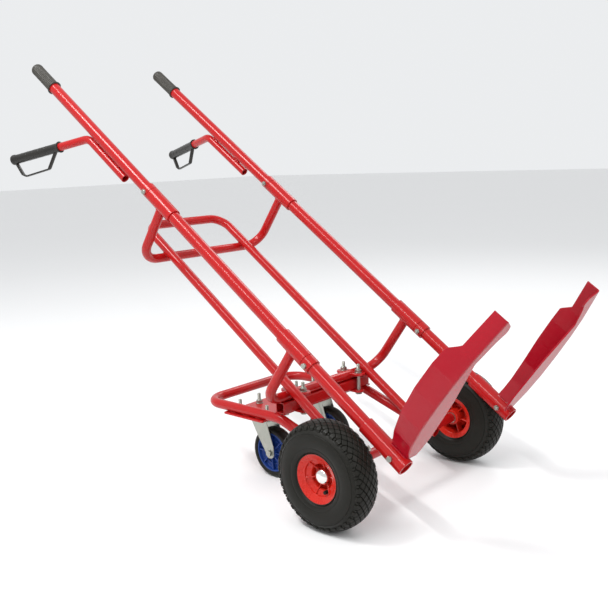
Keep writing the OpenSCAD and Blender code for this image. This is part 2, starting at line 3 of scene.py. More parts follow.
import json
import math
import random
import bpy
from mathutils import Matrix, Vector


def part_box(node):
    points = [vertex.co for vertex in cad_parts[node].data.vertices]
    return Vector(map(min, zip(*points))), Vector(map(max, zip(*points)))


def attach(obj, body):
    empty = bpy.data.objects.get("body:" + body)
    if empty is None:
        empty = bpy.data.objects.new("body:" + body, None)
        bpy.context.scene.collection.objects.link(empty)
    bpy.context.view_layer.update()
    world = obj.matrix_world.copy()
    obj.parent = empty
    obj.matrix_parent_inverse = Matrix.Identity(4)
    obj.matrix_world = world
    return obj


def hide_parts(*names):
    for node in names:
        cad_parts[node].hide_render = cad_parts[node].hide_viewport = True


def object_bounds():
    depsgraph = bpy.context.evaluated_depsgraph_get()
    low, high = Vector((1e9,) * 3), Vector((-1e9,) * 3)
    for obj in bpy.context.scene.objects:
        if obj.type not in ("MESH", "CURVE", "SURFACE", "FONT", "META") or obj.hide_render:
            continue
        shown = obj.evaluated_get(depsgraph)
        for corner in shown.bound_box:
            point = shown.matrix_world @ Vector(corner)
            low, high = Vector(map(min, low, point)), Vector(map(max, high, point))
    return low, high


bl_info = {
    "name": "Tyre trolley",
    "version": (1, 0, 0),
    "blender": (4, 5, 0),
    "location": "3D Viewport > Sidebar > Trolley",
    "description": "Builds the visible pieces and finishes of a convertible hand truck for tyres",
    "category": "Object",
}

import bmesh
import bpy
from bpy.props import FloatProperty, FloatVectorProperty, IntProperty, PointerProperty
from mathutils import Matrix, Vector

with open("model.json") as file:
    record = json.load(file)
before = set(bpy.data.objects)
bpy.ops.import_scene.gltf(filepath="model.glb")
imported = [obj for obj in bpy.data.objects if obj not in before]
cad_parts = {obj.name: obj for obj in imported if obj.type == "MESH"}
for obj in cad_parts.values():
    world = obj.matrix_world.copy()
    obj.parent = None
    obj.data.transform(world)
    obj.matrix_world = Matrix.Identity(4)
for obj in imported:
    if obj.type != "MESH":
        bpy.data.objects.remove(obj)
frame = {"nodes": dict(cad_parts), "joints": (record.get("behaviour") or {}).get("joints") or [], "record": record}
CAD_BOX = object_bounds()
NODES = frame["nodes"]
JOINTS = {joint["name"]: joint for joint in frame["joints"]}
SIDES = {"left": 1, "right": -1}
MM = 0.001
X = Vector((1, 0, 0))
Y = Vector((0, 1, 0))
Z = Vector((0, 0, 1))


# ---- Places, all read from the frame ----


def middle(node):
    """Centre of a node's box."""
    low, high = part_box(node)
    return (low + high) / 2


UP_RAIL = Vector(JOINTS["rail_turn_left"]["axis"]).normalized()
FORWARD = Vector((UP_RAIL.z, 0, -UP_RAIL.x))
RAIL_POINT = Vector(JOINTS["rail_turn_left"]["pos_m"])
RAIL_Y = RAIL_POINT.y
FOOT = RAIL_POINT + UP_RAIL * min(
    (v.co - RAIL_POINT).dot(UP_RAIL) for v in NODES["toe_sleeve_left"].data.vertices
)
AXLE = middle("axle_shaft")
FLOOR_Z = CAD_BOX[0][2]
COLLAR_GAP = 0.5 * MM


def span(node, axis=UP_RAIL):
    """Lowest and highest distance of a node's points from the rails' foot, along an axis."""
    reach = [(v.co - FOOT).dot(axis) for v in NODES[node].data.vertices]
    return min(reach), max(reach)


def half_width(node):
    """Half of a node's box across the trolley."""
    low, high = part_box(node)
    return (high.y - low.y) / 2


def half_length(node):
    """Half of a node's box along the trolley."""
    low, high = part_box(node)
    return (high.x - low.x) / 2


def outward_span(node, side):
    """Nearest and farthest distance of a side's node from the middle plane."""
    low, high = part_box(node)
    return (low.y, high.y) if side > 0 else (-high.y, -low.y)


def rail_place(side, ahead=0.0, outward=0.0, along=0.0):
    """Point in front of a rail's axis, outward from it, and along it from its foot."""
    foot = Vector((FOOT.x, side * (RAIL_Y + outward), FOOT.z))
    return foot + FORWARD * ahead + UP_RAIL * along


def axes(origin, x, y, z):
    """Matrix with its columns along x, y and z."""
    return Matrix.Translation(origin) @ Matrix((x, y, z)).transposed().to_4x4()


def outward_axes(centre, side):
    """Place with z outwards across the trolley, as on an axle."""
    return axes(Vector(centre), X, -side * Z, side * Y)


def up_axes(x, y, z=0.0, twist=0.0):
    """Upright place, turned by twist."""
    return Matrix.Translation((x, y, z)) @ Matrix.Rotation(twist, 4, "Z")


# ---- Sizes and colours that a user would change ----


def length(name, about, value):
    return FloatProperty(name=name, description=about, default=value, unit="LENGTH")


def angle(name, about, value):
    return FloatProperty(name=name, description=about, default=value, subtype="ANGLE")


def colour(name, about, value):
    return FloatVectorProperty(
        name=name, description=about, default=value, subtype="COLOR", size=3
    )


class TrolleySizes(bpy.types.PropertyGroup):
    """Shape details that the frame's solids leave plain."""

    tube_wall: length("Tube wall", "Wall of the bent tubes", 0.0025)
    weld_bead: length("Weld bead", "Radius of a weld bead", 0.0022)
    shoulder_lugs: IntProperty(
        name="Shoulder lugs", description="Lugs round each shoulder of a main tyre", default=38
    )
    lug_height: length("Lug height", "Depth of the main tyre's tread", 0.0042)
    grip_ribs: IntProperty(name="Grip ribs", description="Ribs round each rail grip", default=20)
    thread_pitch: length("Thread pitch", "Pitch of the bolts' threads", 0.0015)
    sheet_edge: length("Sheet edge", "Rounding of the sheet metal's edges", 0.0007)


class TrolleyColours(bpy.types.PropertyGroup):
    """Base colours of the finishes."""

    paint: colour("Paint", "Powder coat of the frame", (0.40, 0.0065, 0.0070))
    blade_paint: colour("Blade paint", "Powder coat of the toe blades", (0.34, 0.0025, 0.0125))
    zinc: colour("Zinc", "Plating of the fasteners and forks", (0.40, 0.41, 0.365))
    grip: colour("Grip", "Soft plastic of the rail grips", (0.036, 0.033, 0.027))
    handle: colour("D-handle", "Hard plastic of the D-handles", (0.014, 0.013, 0.011))
    tyre: colour("Tyre", "Rubber of the main tyres", (0.0085, 0.0080, 0.0058))
    rim: colour("Rim", "Plastic of the main wheels' rims", (0.50, 0.0135, 0.0055))
    castor_hub: colour("Castor hub", "Plastic of the castor wheels", (0.010, 0.042, 0.215))
    floor: colour("Floor", "Plain floor under the trolley", (0.84, 0.84, 0.84))


class TrolleyView(bpy.types.PropertyGroup):
    """Where the camera stands and how it looks."""

    azimuth: angle("Azimuth", "Turn of the camera round the trolley", 0.7431205)
    elevation: angle("Elevation", "Tilt of the camera above level", 0.1543876)
    roll: angle("Roll", "Roll of the camera", -0.0394507)
    place: FloatVectorProperty(
        name="Place", description="Camera in front of the axle's middle on the floor", size=3,
        default=(1.26442, -1.73100, 0.87959), subtype="TRANSLATION",
    )
    lens: FloatProperty(name="Lens", description="Focal length on a 36 mm sensor", default=50.16)


def sizes():
    return bpy.context.scene.trolley_sizes


# ---- Finishes ----


class Field:
    """A socket of a finish's nodes, so that sums on it read as plain Python."""

    def __init__(self, finish, socket):
        self.finish = finish
        self.socket = socket

    def sum_with(self, operation, first, second):
        return self.finish.node(
            "ShaderNodeMath", {"operation": operation}, {0: first, 1: second}
        )

    def __add__(self, other):
        return self.sum_with("ADD", self, other)

    def __radd__(self, other):
        return self.sum_with("ADD", other, self)

    def __sub__(self, other):
        return self.sum_with("SUBTRACT", self, other)

    def __mul__(self, other):
        return self.sum_with("MULTIPLY", self, other)

    def __rmul__(self, other):
        return self.sum_with("MULTIPLY", other, self)


class Finish:
    """A material being made: its nodes, and its shader at the end."""

    def __init__(self, name):
        self.material = bpy.data.materials.new(name)
        self.material.use_nodes = True
        self.tree = self.material.node_tree
        self.tree.nodes.clear()
        self.place = self.node("ShaderNodeTexCoord", output="Object")

    def node(self, kind, settings=None, inputs=None, output=0):
        """A new node: its settings are set first, then its sockets' values and links."""
        made = self.tree.nodes.new(kind)
        for key, value in (settings or {}).items():
            setattr(made, key, value)
        for key, value in (inputs or {}).items():
            if isinstance(value, Field):
                self.tree.links.new(value.socket, made.inputs[key])
            else:
                made.inputs[key].default_value = value
        return Field(self, made.outputs[output]) if made.outputs else None

    def noise(self, scale, detail=2.0, rough=0.5, stretch=None):
        """Cloudy noise between 0 and 1, scale cells to a metre."""
        place = self.place
        if stretch:
            place = self.node(
                "ShaderNodeVectorMath", {"operation": "MULTIPLY"}, {0: place, 1: stretch}
            )
        return self.node(
            "ShaderNodeTexNoise", {},
            {"Vector": place, "Scale": scale, "Detail": detail, "Roughness": rough},
        )

    def ramp(self, field, *stops):
        """Field passed through black-to-white stops, each (place, shade)."""
        made = self.node("ShaderNodeValToRGB", {}, {0: field})
        elements = made.socket.node.color_ramp.elements
        while len(elements) < len(stops):
            elements.new(1.0)
        for element, (place, grey) in zip(elements, stops):
            element.position = place
            element.color = (grey, grey, grey, 1.0)
        return made

    def mix(self, factor, first, second):
        """Colour between first and second."""
        sockets = {0: factor, 6: with_alpha(first), 7: with_alpha(second)}
        return self.node("ShaderNodeMix", {"data_type": "RGBA"}, sockets, output=2)

    def bump(self, height, distance, strength):
        return self.node(
            "ShaderNodeBump", {}, {"Strength": strength, "Distance": distance, "Height": height}
        )

    def close(self, base, roughness, **shader):
        """Ends the finish with its shader; shader holds constants and a Normal."""
        inputs = {"Base Color": with_alpha(base), "Roughness": roughness}
        inputs.update({key.replace("_", " "): value for key, value in shader.items()})
        surface = self.node("ShaderNodeBsdfPrincipled", {}, inputs)
        self.node("ShaderNodeOutputMaterial", {}, {"Surface": surface})
        return self.material


def with_alpha(base):
    return base if isinstance(base, Field) else (*base[:3], 1.0)


def shade(base, factor):
    """A colour made lighter or darker."""
    return tuple(min(1.0, channel * factor) for channel in base)


def powder_coat(name, base):
    """Glossy powder coat: orange peel, slight mottling, a trace of dust and a few rubbed spots."""
    f = Finish(name)
    body = f.mix(f.noise(7.0, 3.0, 0.55), shade(base, 0.93), shade(base, 1.06))
    rubbed = f.ramp(f.noise(240.0, 2.0, 0.5), (0.0, 0.0), (0.74, 0.0), (0.80, 1.0))
    handled = f.ramp(f.noise(11.0, 3.0, 0.5), (0.0, 0.0), (0.58, 0.0), (0.74, 1.0))
    wear = rubbed * handled
    worn = f.mix(wear * 0.5, body, shade(base, 0.45))
    dust = f.ramp(f.noise(60.0, 6.0, 0.7), (0.0, 0.0), (0.5, 0.0), (0.95, 1.0))
    tinted = f.mix(dust * 0.02, worn, (0.50, 0.36, 0.32))
    peel = f.noise(360.0, 2.0, 0.5) + 0.4 * f.noise(80.0, 2.0, 0.5)
    normal = f.bump(peel - 1.5 * wear, 0.000008, 0.25)
    gloss = 0.17 + 0.07 * f.noise(26.0, 4.0, 0.6) + 0.05 * dust + 0.2 * wear
    return f.close(tinted, gloss, Normal=normal, Specular_IOR_Level=0.34)


def zinc_plate(name, base):
    """Bright zinc plating: drawn lines, cloudy passivation and dull spots."""
    f = Finish(name)
    cloud = f.noise(38.0, 5.0, 0.65)
    body = f.mix(cloud, shade(base, 0.78), shade(base, 1.15))
    spots = f.ramp(f.noise(260.0, 2.0, 0.6), (0.0, 0.0), (0.62, 0.0), (0.78, 1.0))
    dull = f.mix(spots * 0.55, body, (0.30, 0.285, 0.24))
    lines = f.noise(700.0, 2.0, 0.6, stretch=(1.0, 1.0, 0.06))
    normal = f.bump(lines + 0.6 * f.noise(160.0, 3.0, 0.6), 0.00005, 0.5)
    rough = 0.27 + 0.16 * cloud + 0.18 * spots
    return f.close(dull, rough, Metallic=0.92, Normal=normal)


def chrome(name):
    """Pressed chrome cap: bright, with faint haze and fine scratches."""
    f = Finish(name)
    haze = f.noise(120.0, 4.0, 0.6)
    body = f.mix(haze, (0.74, 0.73, 0.70), (0.86, 0.85, 0.83))
    scratch = f.noise(900.0, 2.0, 0.5, stretch=(1.0, 0.08, 1.0))
    normal = f.bump(scratch + f.noise(60.0, 2.0, 0.4), 0.00004, 0.35)
    return f.close(body, 0.06 + 0.10 * haze, Metallic=1.0, Normal=normal)


def moulded(name, base, rough, grain, film):
    """Moulded plastic: fine spark grain, flow marks and a film of dust."""
    f = Finish(name)
    flow = f.noise(24.0, 4.0, 0.6)
    body = f.mix(flow, shade(base, 0.88), shade(base, 1.12))
    dust = f.ramp(f.noise(75.0, 6.0, 0.7), (0.0, 0.0), (0.48, 0.0), (0.85, 1.0))
    tinted = f.mix(dust * film, body, (0.42, 0.38, 0.32))
    spark = f.noise(1100.0, 2.0, 0.6) + 0.35 * f.noise(180.0, 3.0, 0.6)
    normal = f.bump(spark, grain, 0.5)
    gloss = rough + 0.10 * flow + 0.12 * dust
    return f.close(tinted, gloss, Normal=normal, Specular_IOR_Level=0.36)


def tyre_rubber(name, base, dusty):
    """Tyre rubber: warm black, brown dust in the low places, and a fine skin."""
    f = Finish(name)
    cloud = f.noise(18.0, 5.0, 0.6)
    body = f.mix(cloud, shade(base, 0.80), shade(base, 1.35))
    grit = f.ramp(f.noise(420.0, 3.0, 0.7), (0.0, 0.0), (0.60, 0.0), (0.74, 1.0))
    patch = f.ramp(f.noise(22.0, 4.0, 0.6), (0.0, 0.0), (0.42, 0.15), (0.70, 1.0))
    dirt = f.mix(grit * patch * dusty, body, (0.26, 0.225, 0.17))
    skin = f.noise(900.0, 3.0, 0.6) + 0.7 * f.noise(140.0, 4.0, 0.6)
    normal = f.bump(skin, 0.00014, 0.6)
    rough = 0.36 + 0.14 * cloud + 0.22 * grit
    return f.close(dirt, rough, Normal=normal, Specular_IOR_Level=0.20)


FINISHES = {}


def finish(name):
    """The finish of a material slot, made when it is first asked for."""
    c = bpy.context.scene.trolley_colours
    makers = {
        "powder_red": (powder_coat, "Powder_coat", c.paint),
        "blade_red": (powder_coat, "Blade_coat", c.blade_paint),
        "zinc": (zinc_plate, "Zinc_plate", c.zinc),
        "chrome_cap": (chrome, "Chrome_cap"),
        "grip_plastic": (moulded, "Grip_plastic", c.grip, 0.40, 0.000012, 0.03),
        "handle_plastic": (moulded, "Handle_plastic", c.handle, 0.28, 0.000010, 0.02),
        "tyre_rubber": (tyre_rubber, "Tyre_rubber", c.tyre, 0.22),
        "tube_rubber": (tyre_rubber, "Tube_rubber", shade(c.tyre, 0.6), 0.2),
        "rim_plastic": (moulded, "Rim_plastic", c.rim, 0.22, 0.000012, 0.02),
        "castor_plastic": (moulded, "Castor_plastic", c.castor_hub, 0.28, 0.00004, 0.04),
        "castor_rubber": (tyre_rubber, "Castor_rubber", shade(c.tyre, 0.85), 0.35),
    }
    if name not in FINISHES:
        maker, *given = makers[name]
        FINISHES[name] = maker(*given)
    return FINISHES[name]


# ---- Making meshes ----


def circle(steps):
    """Cosine and sine at even steps round a turn."""
    turns = [2 * math.pi * j / steps for j in range(steps)]
    return [(math.cos(t), math.sin(t)) for t in turns]


def mm(points):
    """Points given in millimetres, in metres."""
    return [tuple(value * MM for value in point) for point in points]


def mirrored(line):
    """A line of (radius, height) points and its mirror image, end to end."""
    return line + [(r, -z) for r, z in reversed(line)]


class Shell:
    """Points and faces of a piece being made, in metres in the row frame."""

    def __init__(self):
        self.points = []
        self.faces = []

    def skin(self, rings, loop=False, ends=False):
        """Joins rings with faces; loop joins the last to the first, ends closes both."""
        start = len(self.points)
        count = len(rings[0])
        for ring in rings:
            self.points.extend(ring)
        for i in range(len(rings) if loop else len(rings) - 1):
            here = start + i * count
            there = start + (i + 1) % len(rings) * count
            for j in range(count):
                k = (j + 1) % count
                self.faces.append((here + j, here + k, there + k, there + j))
        if ends:
            self.faces.append(tuple(reversed(range(start, start + count))))
            self.faces.append(tuple(range(len(self.points) - count, len(self.points))))

    def turn(self, place, profile, steps=64, loop=True):
        """Turns a profile of (radius, height) points round the place's z axis."""
        unit = circle(steps)
        self.skin([[place @ Vector((r * x, r * y, z)) for x, y in unit] for r, z in profile], loop)

    def prism(self, place, outline, low, high, edge):
        """Plate between two heights with its outline's edges rounded off by edge."""
        inner = shrink(outline, edge)
        levels = [(inner, low), (outline, low + edge), (outline, high - edge), (inner, high)]
        rings = [[place @ Vector((x, y, z)) for x, y in shape] for shape, z in levels]
        self.skin(rings, ends=True)

    def piece(self, name, body, slot, look=None, crease=32):
        """Makes the object; it stands for the node of its own name, if there is one."""
        mesh = bpy.data.meshes.new(name)
        mesh.from_pydata([tuple(p) for p in self.points], [], self.faces)
        work = bmesh.new()
        work.from_mesh(mesh)
        bmesh.ops.remove_doubles(work, verts=work.verts, dist=1e-6)
        bmesh.ops.dissolve_degenerate(work, edges=work.edges, dist=1e-6)
        bmesh.ops.recalc_face_normals(work, faces=work.faces)
        sharp = math.radians(crease)
        for face in work.faces:
            face.smooth = True
        for edge in work.edges:
            edge.smooth = len(edge.link_faces) == 2 and edge.calc_face_angle(0.0) < sharp
        work.to_mesh(mesh)
        work.free()
        mesh.materials.append(finish(look or slot))
        made = bpy.data.objects.new(name, mesh)
        bpy.context.scene.collection.objects.link(made)
        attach(made, body)
        node = OTHER_NODES.get(name, name.lower())
        if node in NODES:
            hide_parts(node)


OTHER_NODES = {"Frame_loop": "chassis_loop"}


def shrink(outline, inset):
    """A closed outline moved inwards by inset along its corners' bisectors."""
    points = [Vector(p) for p in outline]
    after = points[1:] + points[:1]
    area = sum(a.x * b.y - b.x * a.y for a, b in zip(points, after))
    turn = 1 if area > 0 else -1
    result = []
    for i, here in enumerate(points):
        come = (here - points[i - 1]).normalized()
        leave = (after[i] - here).normalized()
        inward = Vector((-come.y - leave.y, come.x + leave.x)) * turn
        sharpest = max(inward.length_squared / 2, 0.2)
        result.append(tuple(here + inward * inset / sharpest))
    return result


def round_corners(corners, closed=False, steps_per_turn=72):
    """Points of a line through corners, each (place, radius), with an arc at each corner."""
    points = []
    count = len(corners)
    for i, (place, radius) in enumerate(corners):
        place = Vector(place)
        if radius == 0 or (not closed and i in (0, count - 1)):
            points.append(place)
            continue
        before = (Vector(corners[i - 1][0]) - place).normalized()
        after = (Vector(corners[(i + 1) % count][0]) - place).normalized()
        half = before.angle(after) / 2
        bend = math.pi - 2 * half
        if bend < 0.01:
            points.append(place)
            continue
        reach = radius / math.tan(half)
        centre = place + (before + after).normalized() * (radius / math.sin(half))
        first = (place + before * reach - centre).normalized()
        last = (place + after * reach - centre).normalized()
        steps = max(2, math.ceil(steps_per_turn * bend / (2 * math.pi)))
        for k in range(steps + 1):
            share = k / steps
            arm = first * math.sin((1 - share) * bend) + last * math.sin(share * bend)
            points.append(centre + arm * (radius / math.sin(bend)))
    return points


def turned_outline(corners):
    """Closed outline for turning, through corners of (radius, height, rounding) in millimetres."""
    scaled = [((r * MM, z * MM), rounding * MM) for r, z, rounding in corners]
    return [tuple(p) for p in round_corners(scaled, closed=True, steps_per_turn=24)]


def rounded_box(width, height, radius):
    """Outline of a rectangle with round corners."""
    x, y = width / 2, height / 2
    corners = [((-x, -y), radius), ((x, -y), radius), ((x, y), radius), ((-x, y), radius)]
    return [tuple(p) for p in round_corners(corners, closed=True, steps_per_turn=32)]


def carried(path, closed=False):
    """Tangent and two cross directions at each point of a path, without twist."""
    count = len(path)
    frames = []
    cross = None
    for i, point in enumerate(path):
        before = path[i - 1] if closed or i > 0 else point
        after = path[(i + 1) % count] if closed or i < count - 1 else point
        tangent = (after - before).normalized()
        if cross is None:
            cross = tangent.cross(Y if abs(tangent.y) < 0.9 else Z).normalized()
        else:
            cross = (cross - tangent * cross.dot(tangent)).normalized()
        frames.append((tangent, cross, tangent.cross(cross)))
    return frames


def round_ring(point, a, b, radius, steps):
    """Circle of points in the plane of two cross directions."""
    return [point + (a * x + b * y) * radius for x, y in circle(steps)]


def tube(shell, path, radius, wall, steps=48, lip=0.5 * MM):
    """Open-ended tube along a path, its end edges broken by a small lip."""
    frames = carried(path)
    last = len(path) - 1

    def ring(i, r, shift=0.0):
        tangent, a, b = frames[i]
        return round_ring(path[i] + tangent * shift, a, b, r, steps)

    outer = [ring(0, radius - lip), ring(0, radius, lip)]
    outer += [ring(i, radius) for i in range(1, last)]
    outer += [ring(last, radius, -lip), ring(last, radius - lip)]
    inner = [ring(i, radius - wall) for i in range(last, -1, -1)]
    shell.skin(outer + inner, loop=True)


def sleeve(shell, side, low, high, radius, wall, steps=64, lip=0.9 * MM):
    """Straight tube round a rail's axis."""
    ends = [rail_place(side, along=low), rail_place(side, along=high)]
    tube(shell, ends, radius, wall, steps, lip)


def bead(shell, path, radius, closed=True, seed=1):
    """Weld bead along a path, with its ripples and small unevenness."""
    rng = random.Random(seed)
    points = evenly(path, radius * 0.55, closed)
    rings = []
    for i, (point, (_, a, b)) in enumerate(zip(points, carried(points, closed))):
        ripple = 0.86 + 0.14 * math.cos(2 * math.pi * i / 4) + rng.uniform(-0.05, 0.05)
        taper = 1.0 if closed else min(1.0, 0.25 + 0.3 * min(i, len(points) - 1 - i))
        rings.append(round_ring(point, a, b, radius * ripple * taper, 10))
    shell.skin(rings, loop=closed, ends=not closed)


def evenly(path, step, closed):
    """The path's points spread evenly, step apart."""
    stops = list(path) + ([path[0]] if closed else [])
    lengths = [(b - a).length for a, b in zip(stops, stops[1:])]
    count = max(8, round(sum(lengths) / step))
    result = []
    i = 0
    passed = 0.0
    for k in range(count if closed else count + 1):
        goal = sum(lengths) * k / count
        while i < len(lengths) - 1 and passed + lengths[i] < goal:
            passed += lengths[i]
            i += 1
        share = (goal - passed) / lengths[i] if lengths[i] else 0.0
        result.append(stops[i].lerp(stops[i + 1], min(1.0, max(0.0, share))))
    return result


def saddle(centre, out, along, radius, bar, shift=0.0, first=0.0, last=2 * math.pi):
    """Line where a tube standing out from a round bar meets it; along is the bar's axis."""
    side = out.cross(along).normalized()
    points = []
    steps = 60
    whole = last - first > 6.2
    for k in range(steps if whole else steps + 1):
        turn = first + (last - first) * k / steps
        across = shift + radius * math.sin(turn)
        if abs(across) < bar:
            depth = math.sqrt(bar**2 - across**2)
            points.append(centre + along * (radius * math.cos(turn)) + side * across + out * depth)
    return points


HEX_STEPS = 48


def hex_block(shell, place, flats, low, high, bore=0.0, both=False):
    """Hexagonal head or nut, chamfered on top or on both faces."""
    chamfer = 0.9 * MM
    corner = flats / math.sqrt(3)
    face = flats / 2 * 0.97
    foot = [(face, low), (corner, low + chamfer)] if both else [(corner, low)]
    levels = [(bore, low), *foot, (corner, high - chamfer), (face, high), (bore, high)]
    rings = []
    for limit, z in levels:
        ring = []
        for j, (x, y) in enumerate(circle(HEX_STEPS)):
            from_flat = math.radians((360.0 * j / HEX_STEPS + 30.0) % 60.0 - 30.0)
            r = min(flats / 2 / math.cos(from_flat), limit)
            ring.append(place @ Vector((r * x, r * y, z)))
        rings.append(ring)
    shell.skin(rings, loop=bore > 0)


def pin(shell, place, radius, low, high, steps=24):
    """Plain solid cylinder."""
    shell.turn(place, [(0.0, low), (radius, low), (radius, high), (0.0, high)], steps, loop=False)


def threaded(shell, place, radius, low, high):
    """Shank whose thread is drawn as closely spaced ridges, with a pointed end."""
    pitch = sizes().thread_pitch
    profile = [(0.0, low), (radius, low)]
    height = low
    while height + pitch < high - radius * 0.3:
        profile += [(radius, height + pitch * 0.25), (radius - pitch * 0.42, height + pitch * 0.75)]
        height += pitch
    profile += [(radius, height + pitch * 0.3), (radius * 0.72, high), (0.0, high)]
    shell.turn(place, profile, steps=20, loop=False)


def ring_plate(shell, place, inner, outer, low, high, steps=40):
    """Washer with rounded edges."""
    edge = min(0.4 * MM, (high - low) / 3)
    profile = [
        (inner, low), (outer - edge, low), (outer, low + edge), (outer, high - edge),
        (outer - edge, high), (inner, high),
    ]
    shell.turn(place, profile, steps)


def spokes(shell, place, count, first, outline):
    """Thin ribs round a hub, from an outline of (radius, height) in millimetres."""
    for k in range(count):
        turn = math.radians(first + 360 / count * k)
        out = Vector((math.cos(turn), math.sin(turn), 0))
        cross = Vector((-math.sin(turn), math.cos(turn), 0))
        blade = place @ axes(Vector(), out, Z, cross)
        shell.prism(blade, mm(outline), -1.4 * MM, 1.4 * MM, 0.5 * MM)


def at_height(place, shift):
    return place @ Matrix.Translation((0, 0, shift))


# ---- Operators, one for each piece or group of like pieces ----


class Maker(bpy.types.Operator):
    """Base of the trolley's operators."""

    bl_options = {"REGISTER", "UNDO"}

    def execute(self, context):
        self.make(context)
        return {"FINISHED"}


def tube_radius(node):
    """Radius of a flat tube node, from its thickness along the rail."""
    low, high = span(node)
    return (high - low) / 2


BOWS = (("upper_bow", "upper_sleeves"), ("lower_bow", "lower_sleeves"))


class TROLLEY_OT_frame_loop(Maker):
    """Long frame loop with its legs on the axle tube."""

    bl_idname = "trolley.frame_loop"
    bl_label = "Frame loop"

    def make(self, context):
        low, high = span("chassis_loop")
        near, far = span("chassis_loop", FORWARD)
        radius = (far - near) / 2
        inset = half_width("chassis_loop") - radius - RAIL_Y
        shell = Shell()
        corners = []
        for side, at in ((1, low), (1, high - radius), (-1, high - radius), (-1, low)):
            corners.append((rail_place(side, (far + near) / 2, inset, at), 50 * MM))
        tube(shell, round_corners(corners), radius, sizes().tube_wall)
        shell.piece("Frame_loop", "frame", "powder_red")


class TROLLEY_OT_bows(Maker):
    """The two bows behind the rails."""

    bl_idname = "trolley.bows"
    bl_label = "Bows"

    def make(self, context):
        for node, sleeves in BOWS:
            radius = tube_radius(node)
            at = sum(span(node)) / 2
            depth = span(node, FORWARD)[0] + radius
            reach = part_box(sleeves)[1].y - RAIL_Y - 3.5 * MM
            corners = []
            for side in (1, -1):
                line = [
                    (rail_place(side, -reach, 0, at), 0), (rail_place(side, depth, 0, at), 60 * MM),
                ]
                corners += line[::side]
            shell = Shell()
            tube(shell, round_corners(corners), radius, sizes().tube_wall)
            shell.piece(node.capitalize(), "frame", "powder_red")


class TROLLEY_OT_sleeves(Maker):
    """Sleeves in which the rails turn."""

    bl_idname = "trolley.sleeves"
    bl_label = "Sleeves"

    def make(self, context):
        for _, node in BOWS:
            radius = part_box(node)[1].y - RAIL_Y
            shell = Shell()
            for side in (1, -1):
                sleeve(shell, side, *span(node), radius, 3.9 * MM, lip=0.8 * MM)
            shell.piece(node.capitalize(), "frame", "powder_red")


class TROLLEY_OT_axle(Maker):
    """Axle tube and the domed hub caps."""

    bl_idname = "trolley.axle"
    bl_label = "Axle"

    def make(self, context):
        low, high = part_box("axle_tube")
        shell = Shell()
        ends = [Vector((AXLE.x, y, AXLE.z)) for y in (low.y, high.y)]
        tube(shell, ends, (high.z - low.z) / 2, 3.3 * MM, 56)
        shell.piece("Axle_tube", "frame", "powder_red")
        for name, side in SIDES.items():
            node = f"hub_cap_{name}"
            radius = half_length(node)
            base, top = outward_span(node, side)
            height = top - base
            mouth = 10.5 * MM
            profile = [
                (mouth, 0.2 * MM), (radius - 0.4 * MM, 0.2 * MM), (radius, 0.8 * MM),
                (radius, height * 0.2),
            ]
            for k in range(1, 14):
                turn = k / 14 * math.pi / 2
                lift = height * (0.2 + 0.8 * math.sin(turn))
                profile.append(((radius - 0.3 * MM) * math.cos(turn) ** 0.8, lift))
            profile += [(0.0, height), (0.0, height - MM), (mouth, height * 0.62)]
            shell = Shell()
            shell.turn(outward_axes((AXLE.x, side * base, AXLE.z), side), profile, 72)
            shell.piece(f"Hub_cap_{name}", "frame", "chrome_cap", crease=40)


class TROLLEY_OT_castor_frame(Maker):
    """Bent tube that carries the castors, dipping to the axle tube at the front."""

    bl_idname = "trolley.castor_frame"
    bl_label = "Castor frame"

    def make(self, context):
        low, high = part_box("castor_frame")
        radius = tube_radius("upper_bow")
        level = high.z - radius
        half = high.y - radius
        reach = 255 * MM
        dip = AXLE.x - reach
        far = math.hypot(reach, level - AXLE.z)
        slope = math.atan2(level - AXLE.z, reach) + math.asin((2 * radius - 2 * MM) / far)
        run = far + 4 * MM
        corners = []
        for side in (1, -1):
            front = (dip + run * math.cos(slope), side * half, level - run * math.sin(slope))
            line = [
                (front, 0),
                ((dip, side * half, level), 80 * MM),
                ((low.x + radius, side * half, level), 60 * MM),
            ]
            corners += line[::side]
        shell = Shell()
        tube(shell, round_corners(corners), radius, sizes().tube_wall)
        shell.piece("Castor_frame", "frame", "powder_red")


class TROLLEY_OT_carrier(Maker):
    """Square crossmember, castor plate, clamp ears and their backings."""

    bl_idname = "trolley.carrier"
    bl_label = "Castor carrier"

    def make(self, context):
        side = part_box("crossmember")[1].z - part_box("crossmember")[0].z
        place = axes(middle("crossmember"), X, -Z, Y)
        half = half_width("crossmember")
        lip = 0.4 * MM
        bore = side - 5 * MM
        levels = [
            (side - 2 * lip, 3.6 * MM, -half), (side, 4 * MM, -half + lip),
            (side, 4 * MM, half - lip), (side - 2 * lip, 3.6 * MM, half),
            (bore, 1.8 * MM, half), (bore, 1.8 * MM, -half),
        ]
        rings = []
        for width, corner, at in levels:
            outline = rounded_box(width, width, corner)
            rings.append([place @ Vector((x, y, at)) for x, y in outline])
        shell = Shell()
        shell.skin(rings, loop=True)
        shell.piece("Crossmember", "frame", "powder_red")

        whole = 2 * half_width("castor_plate")
        plates = (
            ("castor_plate", whole, 6 * MM, (0.5,)),
            ("clamp_ears", 40 * MM, 19.5 * MM, (1, -1)),
            ("clamp_backings", 30 * MM, 14.5 * MM, (1, -1)),
        )
        for node, width, corner, signs in plates:
            low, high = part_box(node)
            outline = rounded_box(high.x - low.x, width, corner)
            shell = Shell()
            for sign in signs:
                y = sign * (high.y - width / 2)
                place = up_axes((low.x + high.x) / 2, y)
                shell.prism(place, outline, low.z, high.z, sizes().sheet_edge)
            shell.piece(node.capitalize(), "frame", "powder_red")


